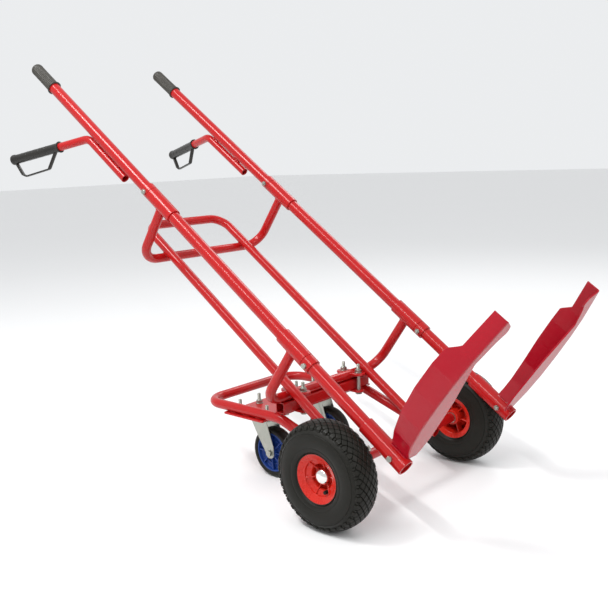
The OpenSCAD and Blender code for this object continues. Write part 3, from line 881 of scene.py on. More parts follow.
class TROLLEY_OT_rails(Maker):
    """Rails, their collars and their toe sleeves."""

    bl_idname = "trolley.rails"
    bl_label = "Rails"

    def make(self, context):
        for name, side in SIDES.items():
            body = f"rail_{name}_body"
            radius = half_width(f"rail_{name}")
            shell = Shell()
            sleeve(shell, side, *span(f"rail_{name}"), radius, 2 * MM, 72, 0.5 * MM)
            shell.piece(f"Rail_{name}", body, "powder_red")

            outer = half_width(f"collars_{name}")
            shell = Shell()
            for low, high in collar_spans(name):
                sleeve(shell, side, low, high, outer, outer - radius)
            shell.piece(f"Collars_{name}", body, "powder_red")

            shell = Shell()
            sleeve(shell, side, *span(f"toe_sleeve_{name}"), outer, outer - radius, 72)
            shell.piece(f"Toe_sleeve_{name}", body, "powder_red")


def collar_spans(name):
    """Both collars of a rail, as distances along it: below the sleeves and above them."""
    first, last = span(f"collars_{name}")
    lower = (first, span("lower_sleeves")[0] - COLLAR_GAP)
    return lower, (span("upper_sleeves")[1] + COLLAR_GAP, last)


class HandlePlace:
    """Where a D-handle's bracket bends and which way its arm and its guard go."""

    BEHIND = 35 * MM
    CORNER = 1383.5 * MM
    FOLD = math.radians(47.9)
    SPLAY = math.radians(20.9)
    ROLL = math.radians(15.6)
    ARM = 316 * MM

    def __init__(self, side):
        self.corner = rail_place(side, -self.BEHIND, 0, self.CORNER)
        back = -FORWARD * math.cos(self.SPLAY) + side * Y * math.sin(self.SPLAY)
        self.arm = UP_RAIL * math.cos(self.FOLD) + back * math.sin(self.FOLD)
        across = back * math.cos(self.FOLD) - UP_RAIL * math.sin(self.FOLD)
        flat = self.arm.cross(across) * side
        self.guard = across * math.cos(self.ROLL) + flat * math.sin(self.ROLL)

    def axes(self):
        return axes(self.corner, self.guard, self.arm.cross(self.guard), self.arm)


class TROLLEY_OT_brackets(Maker):
    """Bent brackets of the D-handles, with the blocks that join them to the rails."""

    bl_idname = "trolley.brackets"
    bl_label = "Handle brackets"

    def make(self, context):
        for name, side in SIDES.items():
            node = f"handle_bracket_{name}"
            spot = HandlePlace(side)
            corners = [
                (rail_place(side, -spot.BEHIND, 0, span(node)[0]), 0),
                (spot.corner, 45 * MM),
                (spot.corner + spot.arm * (spot.ARM - 10 * MM), 0),
            ]
            shell = Shell()
            tube(shell, round_corners(corners), 12.5 * MM, sizes().tube_wall)
            for at in (1215 * MM, 1335 * MM):
                place = axes(rail_place(side, -19.9 * MM, 0, at + 12 * MM), FORWARD, Y, UP_RAIL)
                outline = rounded_box(7.5 * MM, 9 * MM, 1.2 * MM)
                shell.prism(place, outline, -12 * MM, 12 * MM, 0.8 * MM)
                for edge in (-4.6 * MM, 4.6 * MM):
                    for reach in (-22.2 * MM, -17.8 * MM):
                        ends = (at + MM, at + 23 * MM)
                        line = [rail_place(side, reach, edge, end) for end in ends]
                        bead(shell, line, 1.5 * MM, closed=False, seed=7)
            shell.piece(f"Handle_bracket_{name}", f"rail_{name}_body", "powder_red")


class TROLLEY_OT_grips(Maker):
    """Ribbed grips on the rail ends."""

    bl_idname = "trolley.grips"
    bl_label = "Rail grips"

    def make(self, context):
        ribs = sizes().grip_ribs
        for name, side in SIDES.items():
            low, high = span(f"grip_{name}")
            place = axes(rail_place(side, along=low), FORWARD, Y, UP_RAIL)
            end = (high - low) / MM
            smooth_foot = [
                (17.1, 4), (17.1, 0), (21.4, 0), (22, 0.7), (22, 2.4), (21.3, 3.2), (19.6, 4), (19.2, 6),
            ]
            ribbed = [(19, 8.5), (18.8, end * 0.3), (18.7, end * 0.6), (18.8, end - 16)]
            smooth_end = [
                (19, end - 12.5), (19, end - 8.5), (18.2, end - 5), (16.6, end - 2.2),
                (14, end - 0.6), (10, end), (0, end),
            ]
            rings = []
            for deep, part in ((0.0, smooth_foot), (1.1 * MM, ribbed), (0.0, smooth_end)):
                for radius, height in mm(part):
                    ring = []
                    for x, y in circle(ribs * 8):
                        wave = 0.5 + 0.5 * math.cos(ribs * math.atan2(y, x))
                        r = radius - deep * (1 - wave**0.55)
                        ring.append(place @ Vector((r * x, r * y, height)))
                    rings.append(ring)
            shell = Shell()
            shell.skin(rings)
            shell.piece(f"Grip_{name}", f"rail_{name}_body", "grip_plastic", crease=50)


class TROLLEY_OT_d_handles(Maker):
    """D-handles with their knuckle guards."""

    bl_idname = "trolley.d_handles"
    bl_label = "D-handles"

    def make(self, context):
        for name, side in SIDES.items():
            place = HandlePlace(side).axes()
            mouth = HandlePlace.ARM / MM - 200
            end = HandlePlace.ARM / MM + 3
            shell = Shell()
            profile = mm([
                (12.6, mouth + 4), (12.6, mouth), (16.8, mouth), (17.5, mouth + 0.6), (17.5, mouth + 2.8),
                (16.5, mouth + 3.6), (15, mouth + 4.8), (14.5, mouth + 9), (14.3, mouth + 30),
                (14.5, mouth + 100), (14.3, mouth + 165), (14.5, end - 18), (15.4, end - 14.5),
                (16.4, end - 11), (16.5, end - 6), (15.7, end - 2.8), (13.8, end - 0.9), (11, end), (0, end),
            ])
            shell.turn(place, profile, 64, loop=False)
            self.guard(shell, place, mouth * MM, end * MM)
            for k in range(5):
                at = (mouth + 55 + 26 * k) * MM
                ring_plate(shell, at_height(place, at), 12 * MM, 14.75 * MM, -0.8 * MM, 0.8 * MM, 64)
            shell.piece(
                f"D_handle_{name}", f"rail_{name}_body", "grip_plastic", "handle_plastic", 45
            )

    def guard(self, shell, place, mouth, end):
        """Bar from the handle's mouth to its end, thicker and wider where it joins."""
        corners = [
            ((8 * MM, 0, mouth + 20 * MM), 0),
            ((56.5 * MM, 0, mouth + 61 * MM), 8 * MM),
            ((59.5 * MM, 0, end - 44 * MM), 12 * MM),
            ((52 * MM, 0, end - 31 * MM), 10 * MM),
            ((8 * MM, 0, end - 11 * MM), 0),
        ]
        path = round_corners(corners, steps_per_turn=60)
        outline = rounded_box(1.0, 1.0, 0.32)
        rings = []
        for i, (point, (tangent, _, _)) in enumerate(zip(path, carried(path))):
            across = tangent.cross(Y)
            flare = max(0.0, abs(2 * i / (len(path) - 1) - 1) - 0.45)
            thick = 5.2 * MM + 3.5 * MM * flare
            wide = 11 * MM + 3 * MM * flare
            rings.append([place @ (point + across * (x * thick) + Y * (y * wide)) for x, y in outline])
        shell.skin(rings)


# Outline of a left toe blade's sole in front of and outward from its rail, and its wall's
# height at distances in front of the rail, all in millimetres.
BLADE_FOLD = ((15, 0), (70, 28), (128, 41), (200, 42), (272, 36), (335, 22), (434, -17))
BLADE_INNER = (
    (415, -49, 12), (398, -56, 16), (373, -34, 20), (329, -10, 20), (318, -3, 12), (197, -34, 30),
    (75, -48, 20), (41, -44, 8), (18, -36, 0),
)
BLADE_WALL = ((0, 60), (43, 62), (128, 71), (200, 76), (272, 76), (316, 73), (342, 49), (440, 47))


def blade_height(reach):
    """Height of a blade's wall above the sole line, along its reach."""
    stops = mm(BLADE_WALL)
    for (a, low), (b, high) in zip(stops, stops[1:]):
        if reach <= b:
            return low + (high - low) * (reach - a) / (b - a)
    return stops[-1][1]


class TROLLEY_OT_toe_blades(Maker):
    """Bent sheet toe blades: a sole with a folded wall."""

    bl_idname = "trolley.toe_blades"
    bl_label = "Toe blades"

    SHEET = 4 * MM
    FOLD = 5 * MM

    def make(self, context):
        for name, side in SIDES.items():
            node = f"toe_blade_{name}"
            sole = span(node)[0]
            shell = Shell()
            place = axes(rail_place(side), FORWARD, side * Y, UP_RAIL)
            edge = self.edge()
            self.wall(shell, place, edge, sole)
            outline = [tuple(p + n * (self.FOLD - MM)) for p, n in edge]
            inner = [((x * MM, y * MM), r * MM) for x, y, r in ((*BLADE_FOLD[-1], 0), *BLADE_INNER)]
            outline += [tuple(p) for p in round_corners(inner, steps_per_turn=120)][1:]
            slack = 0.02 * MM
            shell.prism(place, outline, sole + slack, sole + self.SHEET - slack, 0.7 * MM)
            for outward, radius, seed in ((4.5 * MM, 2.6 * MM, 3), (-3.3 * MM, 2.2 * MM, 4)):
                seam = []
                for k in range(14):
                    ahead = (20.5 - 0.02 * k) * MM
                    seam.append(rail_place(side, ahead, outward, sole + (2 + 3.7 * k) * MM))
                bead(shell, seam, radius, closed=False, seed=seed)
            shell.piece(f"Toe_blade_{name}", f"rail_{name}_body", "powder_red", "blade_red", 28)

    def edge(self):
        """The fold's line from above in small steps, each with its direction inwards."""
        last = len(BLADE_FOLD) - 1
        corners = [(p, 35 * MM if 0 < i < last else 0) for i, p in enumerate(mm(BLADE_FOLD))]
        line = round_corners(corners, steps_per_turn=180)
        stations = []
        for k, point in enumerate(line):
            tangent = (line[min(k + 1, len(line) - 1)] - line[max(k - 1, 0)]).normalized()
            stations.append((point, Vector((tangent.y, -tangent.x))))
        edge = []
        for (p, n), (q, m) in zip(stations, stations[1:]):
            steps = max(1, round((q - p).length / (6 * MM)))
            for s in range(steps):
                edge.append((p.lerp(q, s / steps), n.lerp(m, s / steps).normalized()))
        return edge + [stations[-1]]

    def wall(self, shell, place, edge, sole):
        """Upright wall with its fold, as a ring of (depth, height) points at each step."""
        sheet = self.SHEET
        fold = self.FOLD
        lip = 0.7 * MM
        rings = []
        for point, inward in edge:
            high = blade_height(point.x)
            profile = [
                (0.0, sole + fold), (0.0, high - lip), (lip, high), (sheet - lip, high),
                (sheet, high - lip), (sheet, sole + fold), (sheet + MM, sole + sheet + 0.4 * MM),
                (fold + 3 * MM, sole + sheet), (fold + 3 * MM, sole), (fold, sole),
                (1.6 * MM, sole + 1.4 * MM),
            ]
            ring = []
            for depth, height in profile:
                spot = point + inward * depth
                ring.append(place @ Vector((spot.x, spot.y, height)))
            rings.append(ring)
        shell.skin(rings, ends=True)


class TROLLEY_OT_welds(Maker):
    """Weld beads of the frame."""

    bl_idname = "trolley.welds"
    bl_label = "Frame welds"

    def make(self, context):
        shell = Shell()
        radius = tube_radius("upper_bow")
        for side in (1, -1):
            self.loop_welds(shell, side, radius)
        self.castor_welds(shell, radius)
        shell.piece("Frame_welds", "frame", "powder_red", crease=60)

    def loop_welds(self, shell, side, radius):
        """Beads of the bows on their sleeves and on the loop, and of the loop on the axle."""
        size = sizes().weld_bead
        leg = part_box("chassis_loop")[1].y - radius
        depth = sum(span("chassis_loop", FORWARD)) / 2
        for node, sleeves in BOWS:
            at = sum(span(node)) / 2
            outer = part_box(sleeves)[1].y - RAIL_Y
            line = saddle(rail_place(side, along=at), -FORWARD, UP_RAIL, radius, outer)
            bead(shell, line, size, seed=11 + side)
            touch = rail_place(side, depth - radius, leg - RAIL_Y, at)
            bead(shell, round_ring(touch, UP_RAIL, Y, 7.5 * MM, 32), size * 1.05, seed=31)
        centre = Vector((AXLE.x, side * leg, AXLE.z))
        shift = (AXLE - FOOT).dot(FORWARD) - depth
        line = saddle(centre, UP_RAIL, Y, radius, radius, shift, -2.45, -0.69)
        if len(line) > 3:
            bead(shell, line, size, closed=False, seed=21)

    def castor_welds(self, shell, radius):
        """Beads round the castor plate, the crossmember and the clamp ears."""
        size = sizes().weld_bead
        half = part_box("castor_frame")[1].y - radius
        low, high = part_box("castor_plate")
        cross_low, cross_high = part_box("crossmember")
        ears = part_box("clamp_ears")[1]
        for side in (1, -1):
            for reach in (-5.8 * MM, 5.8 * MM):
                for share in (0.1, 0.42, 0.74):
                    x = low.x + (high.x - low.x) * share
                    y = side * (half + reach)
                    line = [Vector((end, y, high.z + MM)) for end in (x, x + 24 * MM)]
                    bead(shell, line, size, closed=False, seed=41)
            for x in (cross_low.x - 0.4 * MM, cross_high.x + 0.4 * MM):
                line = []
                for k in range(-6, 7):
                    across = k * 1.1 * MM
                    drop = radius - math.sqrt(radius**2 - across**2)
                    line.append(Vector((x, side * half + across, cross_low.z - drop * 0.4)))
                bead(shell, line, size, closed=False, seed=51)
            for reach in (-13.5 * MM, 13.5 * MM):
                x = (cross_low.x + cross_high.x) / 2 + reach
                y = side * (ears.y - 20 * MM)
                line = [Vector((x, y + end, ears.z + 0.2 * MM)) for end in (-14 * MM, 14 * MM)]
                bead(shell, line, size, closed=False, seed=61)


M10 = {"radius": 4.9 * MM, "flats": 16 * MM, "head": 6.4 * MM}
M8 = {"radius": 3.9 * MM, "flats": 13 * MM, "head": 5.3 * MM}


def fastener(shell, place, seat, length, size):
    """Bolt with its head under the place, plain up to its seat and threaded above it."""
    hex_block(shell, place, size["flats"], -size["head"], 0.0)
    pin(shell, place, size["radius"], -0.2 * MM, seat)
    threaded(shell, place, size["radius"], seat, length)


class TROLLEY_OT_fasteners(Maker):
    """Bolts, nuts and washers."""

    bl_idname = "trolley.fasteners"
    bl_label = "Fasteners"

    def make(self, context):
        self.clamps()
        self.castor_plates()
        self.axle_locks()
        for name, side in SIDES.items():
            self.rail_bolts(name, side)

    def clamps(self):
        head = M10["head"]
        low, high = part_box("clamp_bolts")
        nut_low, nut_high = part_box("clamp_nuts")
        bolts = Shell()
        nuts = Shell()
        half_x = (nut_high.x - nut_low.x) / 2 - 10 * MM
        half_y = nut_high.y - 10 * MM
        for x in (-half_x, half_x):
            for y in (-half_y, half_y):
                spot = ((nut_low.x + nut_high.x) / 2 + x, y)
                place = up_axes(*spot, low.z + head, x * 40 + y * 9)
                fastener(bolts, place, nut_low.z - low.z - head, high.z - low.z - head, M10)
                top = up_axes(*spot, nut_low.z, x * 23 + y * 14)
                ring_plate(nuts, top, 5 * MM, 10 * MM, 0.0, 2 * MM)
                hex_block(nuts, top, M10["flats"], 2.1 * MM, 10.4 * MM, 5 * MM, both=True)
        bolts.piece("Clamp_bolts", "frame", "zinc", crease=25)
        nuts.piece("Clamp_nuts", "frame", "zinc", crease=25)

    def castor_plates(self):
        head = M10["head"]
        low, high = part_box("castor_bolts")
        washer_low, washer_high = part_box("castor_washers")
        nut_low, nut_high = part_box("castor_nuts")
        bolts = Shell()
        washers = Shell()
        nuts = Shell()
        for name in SIDES:
            pivot = Vector(JOINTS[f"castor_swivel_{name}"]["pos_m"])
            for x in (-52.5 * MM, 52.5 * MM):
                for y in (-37.5 * MM, 37.5 * MM):
                    spot = (pivot.x + x, pivot.y + y)
                    twist = x * 31 + y * 57
                    place = up_axes(*spot, low.z + head, twist)
                    fastener(bolts, place, washer_low.z - low.z - head, high.z - low.z - head, M10)
                    ring_plate(washers, up_axes(*spot), 5 * MM, 10 * MM, washer_low.z, washer_high.z)
                    top = up_axes(*spot, nut_low.z, twist)
                    hex_block(
                        nuts, top, M10["flats"], 0.1 * MM, nut_high.z - nut_low.z, 5 * MM, both=True
                    )
        bolts.piece("Castor_bolts", "frame", "zinc", crease=25)
        washers.piece("Castor_washers", "frame", "zinc")
        nuts.piece("Castor_nuts", "frame", "zinc", crease=25)

    def axle_locks(self):
        head = M8["head"]
        low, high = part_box("axle_lock_bolts")
        seat = 27 * MM
        shell = Shell()
        for sign in (1, -1):
            place = up_axes(AXLE.x, sign * (high.y - 6.5 * MM), low.z + head, 0.3 * sign)
            fastener(shell, place, seat, high.z - low.z - head, M8)
            hex_block(shell, at_height(place, seat), M8["flats"], 0.1 * MM, 6.5 * MM, both=True)
        shell.piece("Axle_lock_bolts", "frame", "zinc", crease=25)

    def rail_bolts(self, name, side):
        flats = M8["flats"]
        radius = M8["radius"]
        outer = half_width(f"collars_{name}")
        seat = outer - 0.8 * MM
        shell = Shell()
        for at in (37 * MM, *(sum(ends) / 2 for ends in collar_spans(name))):
            place = axes(rail_place(side, along=at), -side * X, Z, side * Y)
            place = place @ Matrix.Rotation(at * 5, 4, "Z")
            hex_block(shell, place, flats, seat, outer + M8["head"])
            pin(shell, place, radius, -outer, outer)
            back = place @ Matrix.Rotation(math.pi, 4, "X")
            hex_block(shell, back, flats, seat, outer + 5.5 * MM, both=True)
            threaded(shell, back, radius, outer + 4 * MM, outer + 9 * MM)
        shell.piece(f"Rail_bolts_{name}", f"rail_{name}_body", "zinc", crease=25)


# Main tyre, in millimetres: its side as (radius, depth in from the widest plane) from the
# hollow inside over the bead to the shoulder, and its tread's blocks as (share of a lug's
# pitch, share of a row) for the diamond and (share, depth) for the shoulder's two lugs.
HOLLOW = ((117.5, 45), (116, 31), (106, 14), (92, 6), (70, 14))
BEAD = ((56, 16), (56, 12), (60, 7), (62, 5.5))
SIDEWALL = (
    (63.7, 7), (65, 4.8), (69, 2.8), (74.5, 1.4), (76.5, 1.9), (78.5, 1), (86, 0.3), (92, 0),
    (99, 0.5), (104, 1.4), (108.2, 2.4), (109, 3.6), (110.2, 3.6), (111, 3), (115, 5.8),
    (118.5, 8.5), (121.2, 12),
)
SHOULDER = 12 * MM
DIAMOND = ((-0.46, 0), (-0.08, -0.8), (0.08, -0.8), (0.46, 0), (0.08, 0.8), (-0.08, 0.8))
LUG = ((-0.27, 6.8), (0.27, 6.8), (0.33, 13), (0.10, 18.8), (-0.10, 18.8), (-0.33, 13))
STUB = ((-0.13, 8.8), (0.13, 8.8), (0.12, 12.2), (-0.12, 12.2))


class TROLLEY_OT_tyres(Maker):
    """Pneumatic tyres with a knobbly tread, ribbed shoulders and small vent pips."""

    bl_idname = "trolley.tyres"
    bl_label = "Main tyres"

    def make(self, context):
        for name, side in SIDES.items():
            node = f"tyre_{name}"
            self.radius = half_length(node)
            self.half = half_width(node)
            self.place = outward_axes(middle(node), side)
            shell = Shell()
            self.carcass(shell)
            self.tread(shell)
            self.pips(shell)
            shell.piece(f"Tyre_{name}", f"wheel_{name}", "tyre_rubber", crease=38)

    def surface(self, across):
        """Radius between the tread's blocks at a distance from the centre plane."""
        share = min(1.15, abs(across) / (self.half - SHOULDER))
        return self.radius - 7.2 * MM * share**2.6 - sizes().lug_height

    def carcass(self, shell):
        line = [(r, self.half - depth) for r, depth in mm(HOLLOW + BEAD + SIDEWALL)]
        for k in range(1, 13):
            across = (self.half - SHOULDER) * (1 - k / 12)
            line.append((self.surface(across), across))
        shell.turn(self.place, mirrored(line[::-1]), 152)

    def block(self, shell, outline, height):
        """Tread block: an outline of (angle, across) raised from the carcass, smaller on top."""
        centre = [sum(p[i] for p in outline) / len(outline) for i in (0, 1)]
        levels = (
            (1.0, -1.2 * MM), (0.97, height * 0.55), (0.90, height - 0.5 * MM), (0.82, height)
        )
        rings = []
        for scale, lift in levels:
            ring = []
            for turn, across in outline:
                a = centre[0] + (turn - centre[0]) * scale
                z = centre[1] + (across - centre[1]) * scale
                r = self.surface(z) + lift
                ring.append(self.place @ Vector((r * math.cos(a), r * math.sin(a), z)))
            rings.append(ring)
        shell.skin(rings, ends=True)

    def tread(self, shell):
        count = sizes().shoulder_lugs
        pitch = 2 * math.pi / count
        height = sizes().lug_height
        row = (self.half - SHOULDER) / 4
        for k in range(count):
            for level in range(-3, 4):
                turn = (k + 0.5 * (level % 2)) * pitch
                outline = [(turn + a * pitch, (level + b) * row) for a, b in DIAMOND]
                self.block(shell, outline, height)
            for sign in (1, -1):
                for shape, shift, share in ((LUG, 0.0, 1.0), (STUB, 0.5, 0.7)):
                    turn = (k + shift) * pitch
                    outline = [
                        (turn + a * pitch, sign * (self.half - depth * MM)) for a, depth in shape
                    ]
                    self.block(shell, outline, height * share)

    def pips(self, shell):
        rng = random.Random(5)
        pip = mm([(0, -0.6), (0.8, -0.6), (0.7, 0.7), (0, 0.9)])
        for sign in (1, -1):
            for k in range(26):
                turn = 2 * math.pi * (k + rng.uniform(-0.2, 0.2)) / 26
                r = 95.5 * MM + rng.uniform(-0.004, 0.004)
                z = sign * (self.half - 0.9 * MM)
                spot = self.place @ Matrix.Translation((r * math.cos(turn), r * math.sin(turn), z))
                if sign < 0:
                    spot = spot @ Matrix.Rotation(math.pi, 4, "X")
                shell.turn(spot, pip, 8, loop=False)


class TROLLEY_OT_rims(Maker):
    """Dished plastic rims with their ribs, and the valves."""

    bl_idname = "trolley.rims"
    bl_label = "Rims and valves"

    def make(self, context):
        for name, side in SIDES.items():
            self.rim(name, side)
            self.valve(name, side)

    def rim(self, name, side):
        node = f"rim_{name}"
        place = outward_axes(middle(f"tyre_{name}"), side)
        lip = half_length(node) / MM
        centre = abs(middle(f"tyre_{name}").y)
        rear, face = ((y - centre) / MM for y in outward_span(node, side))
        corners = [
            (14.5, rear, 0), (21, rear, 1), (22.2, -3, 3), (33, 0.5, 3), (33.6, 16, 3), (44.5, 21.5, 2),
            (46.2, 25, 1), (46.2, rear + 5, 3), (lip - 3.5, rear + 0.2, 1), (lip, rear + 0.2, 1),
            (lip, rear + 3.5, 1), (50, rear + 10.5, 3), (50, face - 10.5, 3), (lip, face - 3.6, 1),
            (lip, face, 1.6), (lip - 4.5, face, 2), (lip - 7.5, face - 1.8, 4), (47.5, 30.5, 6),
            (44.2, 28.8, 1.2), (43.2, 23.8, 0.8), (41.2, 23.2, 0.6), (32.5, 19, 1.2), (31.2, 16.5, 1),
            (30, 4.5, 2), (23, 3.5, 2), (21, 10, 1), (14.5, 10, 0),
        ]
        front = (
            (20, 2), (20, 9.7), (21.6, 10.6), (21.6, 15.2), (44, 28.7), (44.8, 23), (32, 16), (31, 2),
        )
        shell = Shell()
        shell.turn(place, turned_outline(corners), 96)
        spokes(shell, place, 6, 12, front)
        spokes(shell, place, 6, 12, ((20.5, -24), (47, -24), (47, -1), (20.5, -1)))
        shell.piece(f"Rim_{name}", f"wheel_{name}", "rim_plastic", crease=35)

    def valve(self, name, side):
        spot = middle(f"valve_{name}")
        inner, outer = (y / MM for y in outward_span(f"valve_{name}", side))
        profile = [
            (0, inner), (4.1, inner), (4.1, inner + 8), (3.6, inner + 9.5), (3.6, inner + 10.4),
            (4.4, inner + 10.6), (4.7, inner + 11.6),
        ]
        at = inner + 11.6
        while at + 1.2 < outer - 1.8:
            profile += [(4.7, at + 0.8), (4.4, at + 1), (4.7, at + 1.2)]
            at += 1.2
        profile += [(4.7, outer - 1.4), (4.2, outer - 0.4), (3.4, outer), (0, outer)]
        shell = Shell()
        shell.turn(outward_axes((spot.x, 0, spot.z), side), mm(profile), 28, loop=False)
        shell.piece(f"Valve_{name}", f"wheel_{name}", "tube_rubber")


class TROLLEY_OT_castor_forks(Maker):
    """Pressed castor forks with a raised rib down each cheek, their heads and axle bolts."""

    bl_idname = "trolley.castor_forks"
    bl_label = "Castor forks"

    SHEET = 3 * MM
    TOP_HALF = 30 * MM
    FOOT = 15.5 * MM
    ROWS = 44
    COLUMNS = 24

    def make(self, context):
        for name, side in SIDES.items():
            wheel = middle(f"castor_tyre_{name}")
            pivot = Vector(JOINTS[f"castor_swivel_{name}"]["pos_m"])
            half = half_width(f"castor_fork_{name}")
            self.fork(name, pivot, wheel, half)
            self.axle(name, outward_axes(wheel, side), half)
            self.head(name, up_axes(pivot.x, pivot.y))

    def fork(self, name, pivot, wheel, half):
        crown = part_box(f"castor_fork_{name}")[1].z
        shell = Shell()
        for sign in (1, -1):
            self.cheek(shell, pivot, wheel, crown, sign, half)
        x_limit = self.TOP_HALF - 0.2 * MM
        y_limit = half - MM
        outline = []
        for x, y in circle(48):
            x = max(-x_limit, min(x_limit, 38 * MM * x))
            outline.append((x, max(-y_limit, min(y_limit, 38 * MM * y))))
        shell.prism(up_axes(pivot.x, pivot.y), outline, crown - self.SHEET, crown, 0.6 * MM)
        shell.piece(f"Castor_fork_{name}", f"castor_swivel_{name}", "zinc", crease=40)

    def axle(self, name, place, reach):
        flats = M10["flats"]
        shell = Shell()
        hex_block(shell, at_height(place, reach), flats, 0.0, 6 * MM)
        pin(shell, place, 5.9 * MM, -reach, reach, 32)
        back = place @ Matrix.Rotation(math.pi, 4, "X") @ Matrix.Rotation(0.4, 4, "Z")
        ring_plate(shell, at_height(back, reach), 5 * MM, 9 * MM, 0.0, 1.4 * MM)
        hex_block(shell, at_height(back, reach), flats, 1.4 * MM, 7.9 * MM, both=True)
        shell.piece(f"Castor_axle_{name}", f"castor_swivel_{name}", "zinc", crease=25)

    def head(self, name, place):
        low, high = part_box(f"castor_head_{name}")
        outline = rounded_box(high.x - low.x, high.y - low.y, 9 * MM)
        base = low.z / MM
        top = high.z / MM - 5
        profile = [
            (0, top), (33, top), (33, base + 3.5), (32.2, base + 1.5), (30, base), (24, base + 0.3),
            (0, base + 0.3),
        ]
        shell = Shell()
        shell.prism(place, outline, high.z - 4 * MM, high.z, 0.6 * MM)
        shell.turn(place, mm(profile), 64, loop=False)
        shell.piece(f"Castor_head_{name}", "frame", "zinc", crease=35)

    def cheek(self, shell, pivot, wheel, crown, sign, half):
        """One cheek: rings round it at heights down it, bulged outwards along a rib."""
        foot = self.FOOT
        top = self.TOP_HALF
        trail = wheel.x - pivot.x
        bottom = wheel.z - foot
        rings = []
        for i in range(self.ROWS + 1):
            share = i / self.ROWS
            z = crown + (bottom - crown) * share
            if z >= wheel.z:
                down = (crown - z) / (crown - wheel.z)
                rear = -top + (trail - foot * 0.985 + top) * down**1.12
                front = top + (trail + foot - top) * min(1.0, down * 1.25)
            else:
                reach = math.sqrt(max(foot**2 - (wheel.z - z) ** 2, 0.0))
                rear = trail - reach
                front = trail + reach
            outer = []
            inner = []
            for j in range(self.COLUMNS + 1):
                t = j / self.COLUMNS
                x = pivot.x + rear + (front - rear) * t
                flat = 1 - self.rib(t, share)
                outer.append(Vector((x, pivot.y + sign * (half - 1.2 * MM * flat), z)))
                y = half - self.SHEET - 0.2 * MM * flat
                inner.append(Vector((x, pivot.y + sign * y, z)))
            rings.append(outer + inner[::-1])
        start = len(shell.points)
        shell.skin(rings)
        shell.faces.append(tuple(reversed(range(start, start + len(rings[0])))))

    def rib(self, t, share):
        """Height of the pressed rib, 0 to 1, across and down a cheek."""
        if not 0.28 < t < 0.84:
            return 0.0
        fade = min(1.0, max(0.0, (0.80 - share) / 0.10)) * min(1.0, share / 0.06)
        return fade * min(1.0, min(t - 0.28, 0.84 - t) / 0.09)


class TROLLEY_OT_castor_wheels(Maker):
    """Castor wheels: ribbed blue hub and solid rubber tyre."""

    bl_idname = "trolley.castor_wheels"
    bl_label = "Castor wheels"

    def make(self, context):
        for name, side in SIDES.items():
            node = f"castor_tyre_{name}"
            body = f"castor_wheel_{name}"
            radius = half_length(node) / MM
            half = half_width(node) / MM
            place = outward_axes(middle(node), side)
            seat = radius - 15.2
            line = [
                (seat, -13.5), (seat + 1.2, 2.2 - half), (seat + 4, 0.4 - half), (radius - 8.5, -half),
                (radius - 5, 0.9 - half), (radius - 2.4, 3.4 - half), (radius - 0.8, 7.5 - half),
                (radius, 13 - half),
            ]
            shell = Shell()
            shell.turn(place, mm(mirrored(line)), 120)
            shell.piece(f"Castor_tyre_{name}", body, "castor_rubber", crease=45)

            rim = seat - 0.1
            corners = [
                (6.1, -20, 0), (14, -20, 1), (16, -17, 1), (17.2, -5, 3), (rim - 5.2, -4.2, 3),
                (rim - 3.6, -15, 1), (rim, -15, 0.8),
            ]
            corners += [(r, -z, rounding) for r, z, rounding in reversed(corners)]
            shell = Shell()
            shell.turn(place, turned_outline(corners), 88)
            spokes(shell, place, 8, 0, ((14, -16.5), (rim - 3, -12.8), (rim - 3, 12.8), (14, 16.5)))
            ring_plate(shell, place, 33.5 * MM, 35.8 * MM, -8.5 * MM, 8.5 * MM, 88)
            shell.piece(f"Castor_hub_{name}", body, "castor_plastic", crease=35)


class TROLLEY_OT_plain_nodes(Maker):
    """Finishes of the frame's solids that stay as they are."""

    bl_idname = "trolley.plain_nodes"
    bl_label = "Remaining solids"

    def make(self, context):
        slots = {part["node"]: part["material_slot"] for part in frame["record"]["subparts"]}
        for name, node in NODES.items():
            node.data.materials.clear()
            node.data.materials.append(finish(slots[name]))


def lamp(name, place, aim, width, length, power, along=Z):
    """Rectangular soft light that shines from place towards aim, its length along a direction."""
    light = bpy.data.lights.new(name, "AREA")
    light.shape = "RECTANGLE"
    light.size = width
    light.size_y = length
    light.energy = power
    made = bpy.data.objects.new(name, light)
    facing = (Vector(place) - Vector(aim)).normalized()
    cross = along.cross(facing).normalized()
    made.matrix_world = axes(Vector(place), cross, facing.cross(cross), facing)
    bpy.context.scene.collection.objects.link(made)


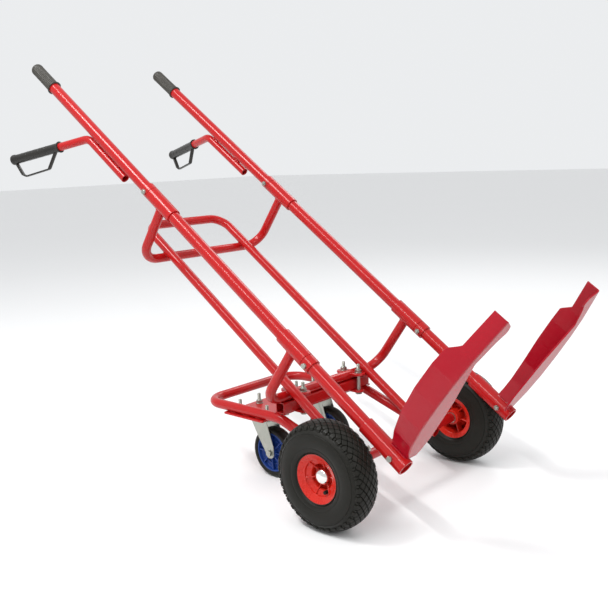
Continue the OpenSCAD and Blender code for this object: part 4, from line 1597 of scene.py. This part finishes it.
class TROLLEY_OT_stage(Maker):
    """Pale floor, soft studio light and the camera."""

    bl_idname = "trolley.stage"
    bl_label = "Stage"

    def make(self, context):
        self.floor(context.scene)
        self.light(context.scene)
        self.camera(context.scene)
        context.scene.view_settings.view_transform = "Standard"

    def floor(self, scene):
        reach = 30.0
        level = FLOOR_Z - 0.4 * MM
        mesh = bpy.data.meshes.new("Floor")
        corners = [(-reach, -reach), (reach, -reach), (reach, reach), (-reach, reach)]
        mesh.from_pydata([(x, y, level) for x, y in corners], [], [(0, 1, 2, 3)])
        f = Finish("Floor_paint")
        cloud = f.noise(0.8, 3.0, 0.5)
        base = scene.trolley_colours.floor
        body = f.mix(cloud, shade(base, 0.985), shade(base, 1.0))
        mesh.materials.append(f.close(body, 0.7 + 0.1 * cloud))
        ground = bpy.data.objects.new("Floor", mesh)
        scene.collection.objects.link(ground)

    def light(self, scene):
        world = bpy.data.worlds.new("Studio")
        world.use_nodes = True
        background = world.node_tree.nodes["Background"]
        background.inputs["Color"].default_value = (0.97, 0.985, 1.0, 1.0)
        background.inputs["Strength"].default_value = 0.86
        scene.world = world
        aside = FORWARD * 0.75 + Vector((0, -0.66, 0))
        beside = rail_place(-1) + UP_RAIL * 2.2
        lamp("Strip", beside + aside * 2.0, beside, 0.07, 3.6, 42, UP_RAIL)
        lamp("Key", (-0.9, -1.6, 3.4), (0.1, 0.0, 0.3), 0.9, 0.9, 42)
        lamp("Fill", (3.0, -0.6, 2.0), (0.3, 0.0, 0.3), 1.2, 1.2, 14)
        lamp("Back", (-0.6, 3.2, 3.2), (0.0, 0.0, 0.4), 1.5, 1.5, 34)

    def camera(self, scene):
        view = scene.trolley_view
        azimuth, elevation, roll = view.azimuth, view.elevation, view.roll
        back = Vector((
            math.sin(azimuth) * math.cos(elevation),
            -math.cos(azimuth) * math.cos(elevation),
            math.sin(elevation),
        ))
        level = Vector((math.cos(azimuth), math.sin(azimuth), 0))
        rise = back.cross(level)
        right = level * math.cos(roll) + rise * math.sin(roll)
        top = rise * math.cos(roll) - level * math.sin(roll)
        camera = bpy.data.cameras.new("Camera")
        camera.lens = view.lens
        camera.sensor_width = 36.0
        camera.shift_x = 0.00477
        camera.shift_y = -0.02467
        camera.clip_end = 200.0
        made = bpy.data.objects.new("Camera", camera)
        made.matrix_world = axes(Vector(view.place) + X * AXLE.x, right, top, back)
        scene.collection.objects.link(made)
        scene.camera = made


OPERATORS = (
    TROLLEY_OT_plain_nodes, TROLLEY_OT_frame_loop, TROLLEY_OT_bows, TROLLEY_OT_sleeves, TROLLEY_OT_axle,
    TROLLEY_OT_castor_frame, TROLLEY_OT_carrier, TROLLEY_OT_rails, TROLLEY_OT_brackets, TROLLEY_OT_grips,
    TROLLEY_OT_d_handles, TROLLEY_OT_toe_blades, TROLLEY_OT_welds, TROLLEY_OT_fasteners, TROLLEY_OT_tyres,
    TROLLEY_OT_rims, TROLLEY_OT_castor_forks, TROLLEY_OT_castor_wheels, TROLLEY_OT_stage,
)


class TROLLEY_PT_panel(bpy.types.Panel):
    """Lists the trolley's operators, sizes and colours."""

    bl_label = "Tyre trolley"
    bl_idname = "TROLLEY_PT_panel"
    bl_space_type = "VIEW_3D"
    bl_region_type = "UI"
    bl_category = "Trolley"

    def draw(self, context):
        scene = context.scene
        for group in (scene.trolley_sizes, scene.trolley_colours, scene.trolley_view):
            box = self.layout.box()
            for name in group.bl_rna.properties.keys():
                if name not in {"rna_type", "name"}:
                    box.prop(group, name)
        for operator in OPERATORS:
            self.layout.operator(operator.bl_idname)


CLASSES = (TrolleySizes, TrolleyColours, TrolleyView, *OPERATORS, TROLLEY_PT_panel)


def register():
    for made in CLASSES:
        bpy.utils.register_class(made)
    bpy.types.Scene.trolley_sizes = PointerProperty(type=TrolleySizes)
    bpy.types.Scene.trolley_colours = PointerProperty(type=TrolleyColours)
    bpy.types.Scene.trolley_view = PointerProperty(type=TrolleyView)


def unregister():
    del bpy.types.Scene.trolley_view
    del bpy.types.Scene.trolley_colours
    del bpy.types.Scene.trolley_sizes
    for made in reversed(CLASSES):
        bpy.utils.unregister_class(made)


def main():
    register()
    for operator in OPERATORS:
        group, name = operator.bl_idname.split(".")
        getattr(getattr(bpy.ops, group), name)()


if __name__ == "__main__":
    main()
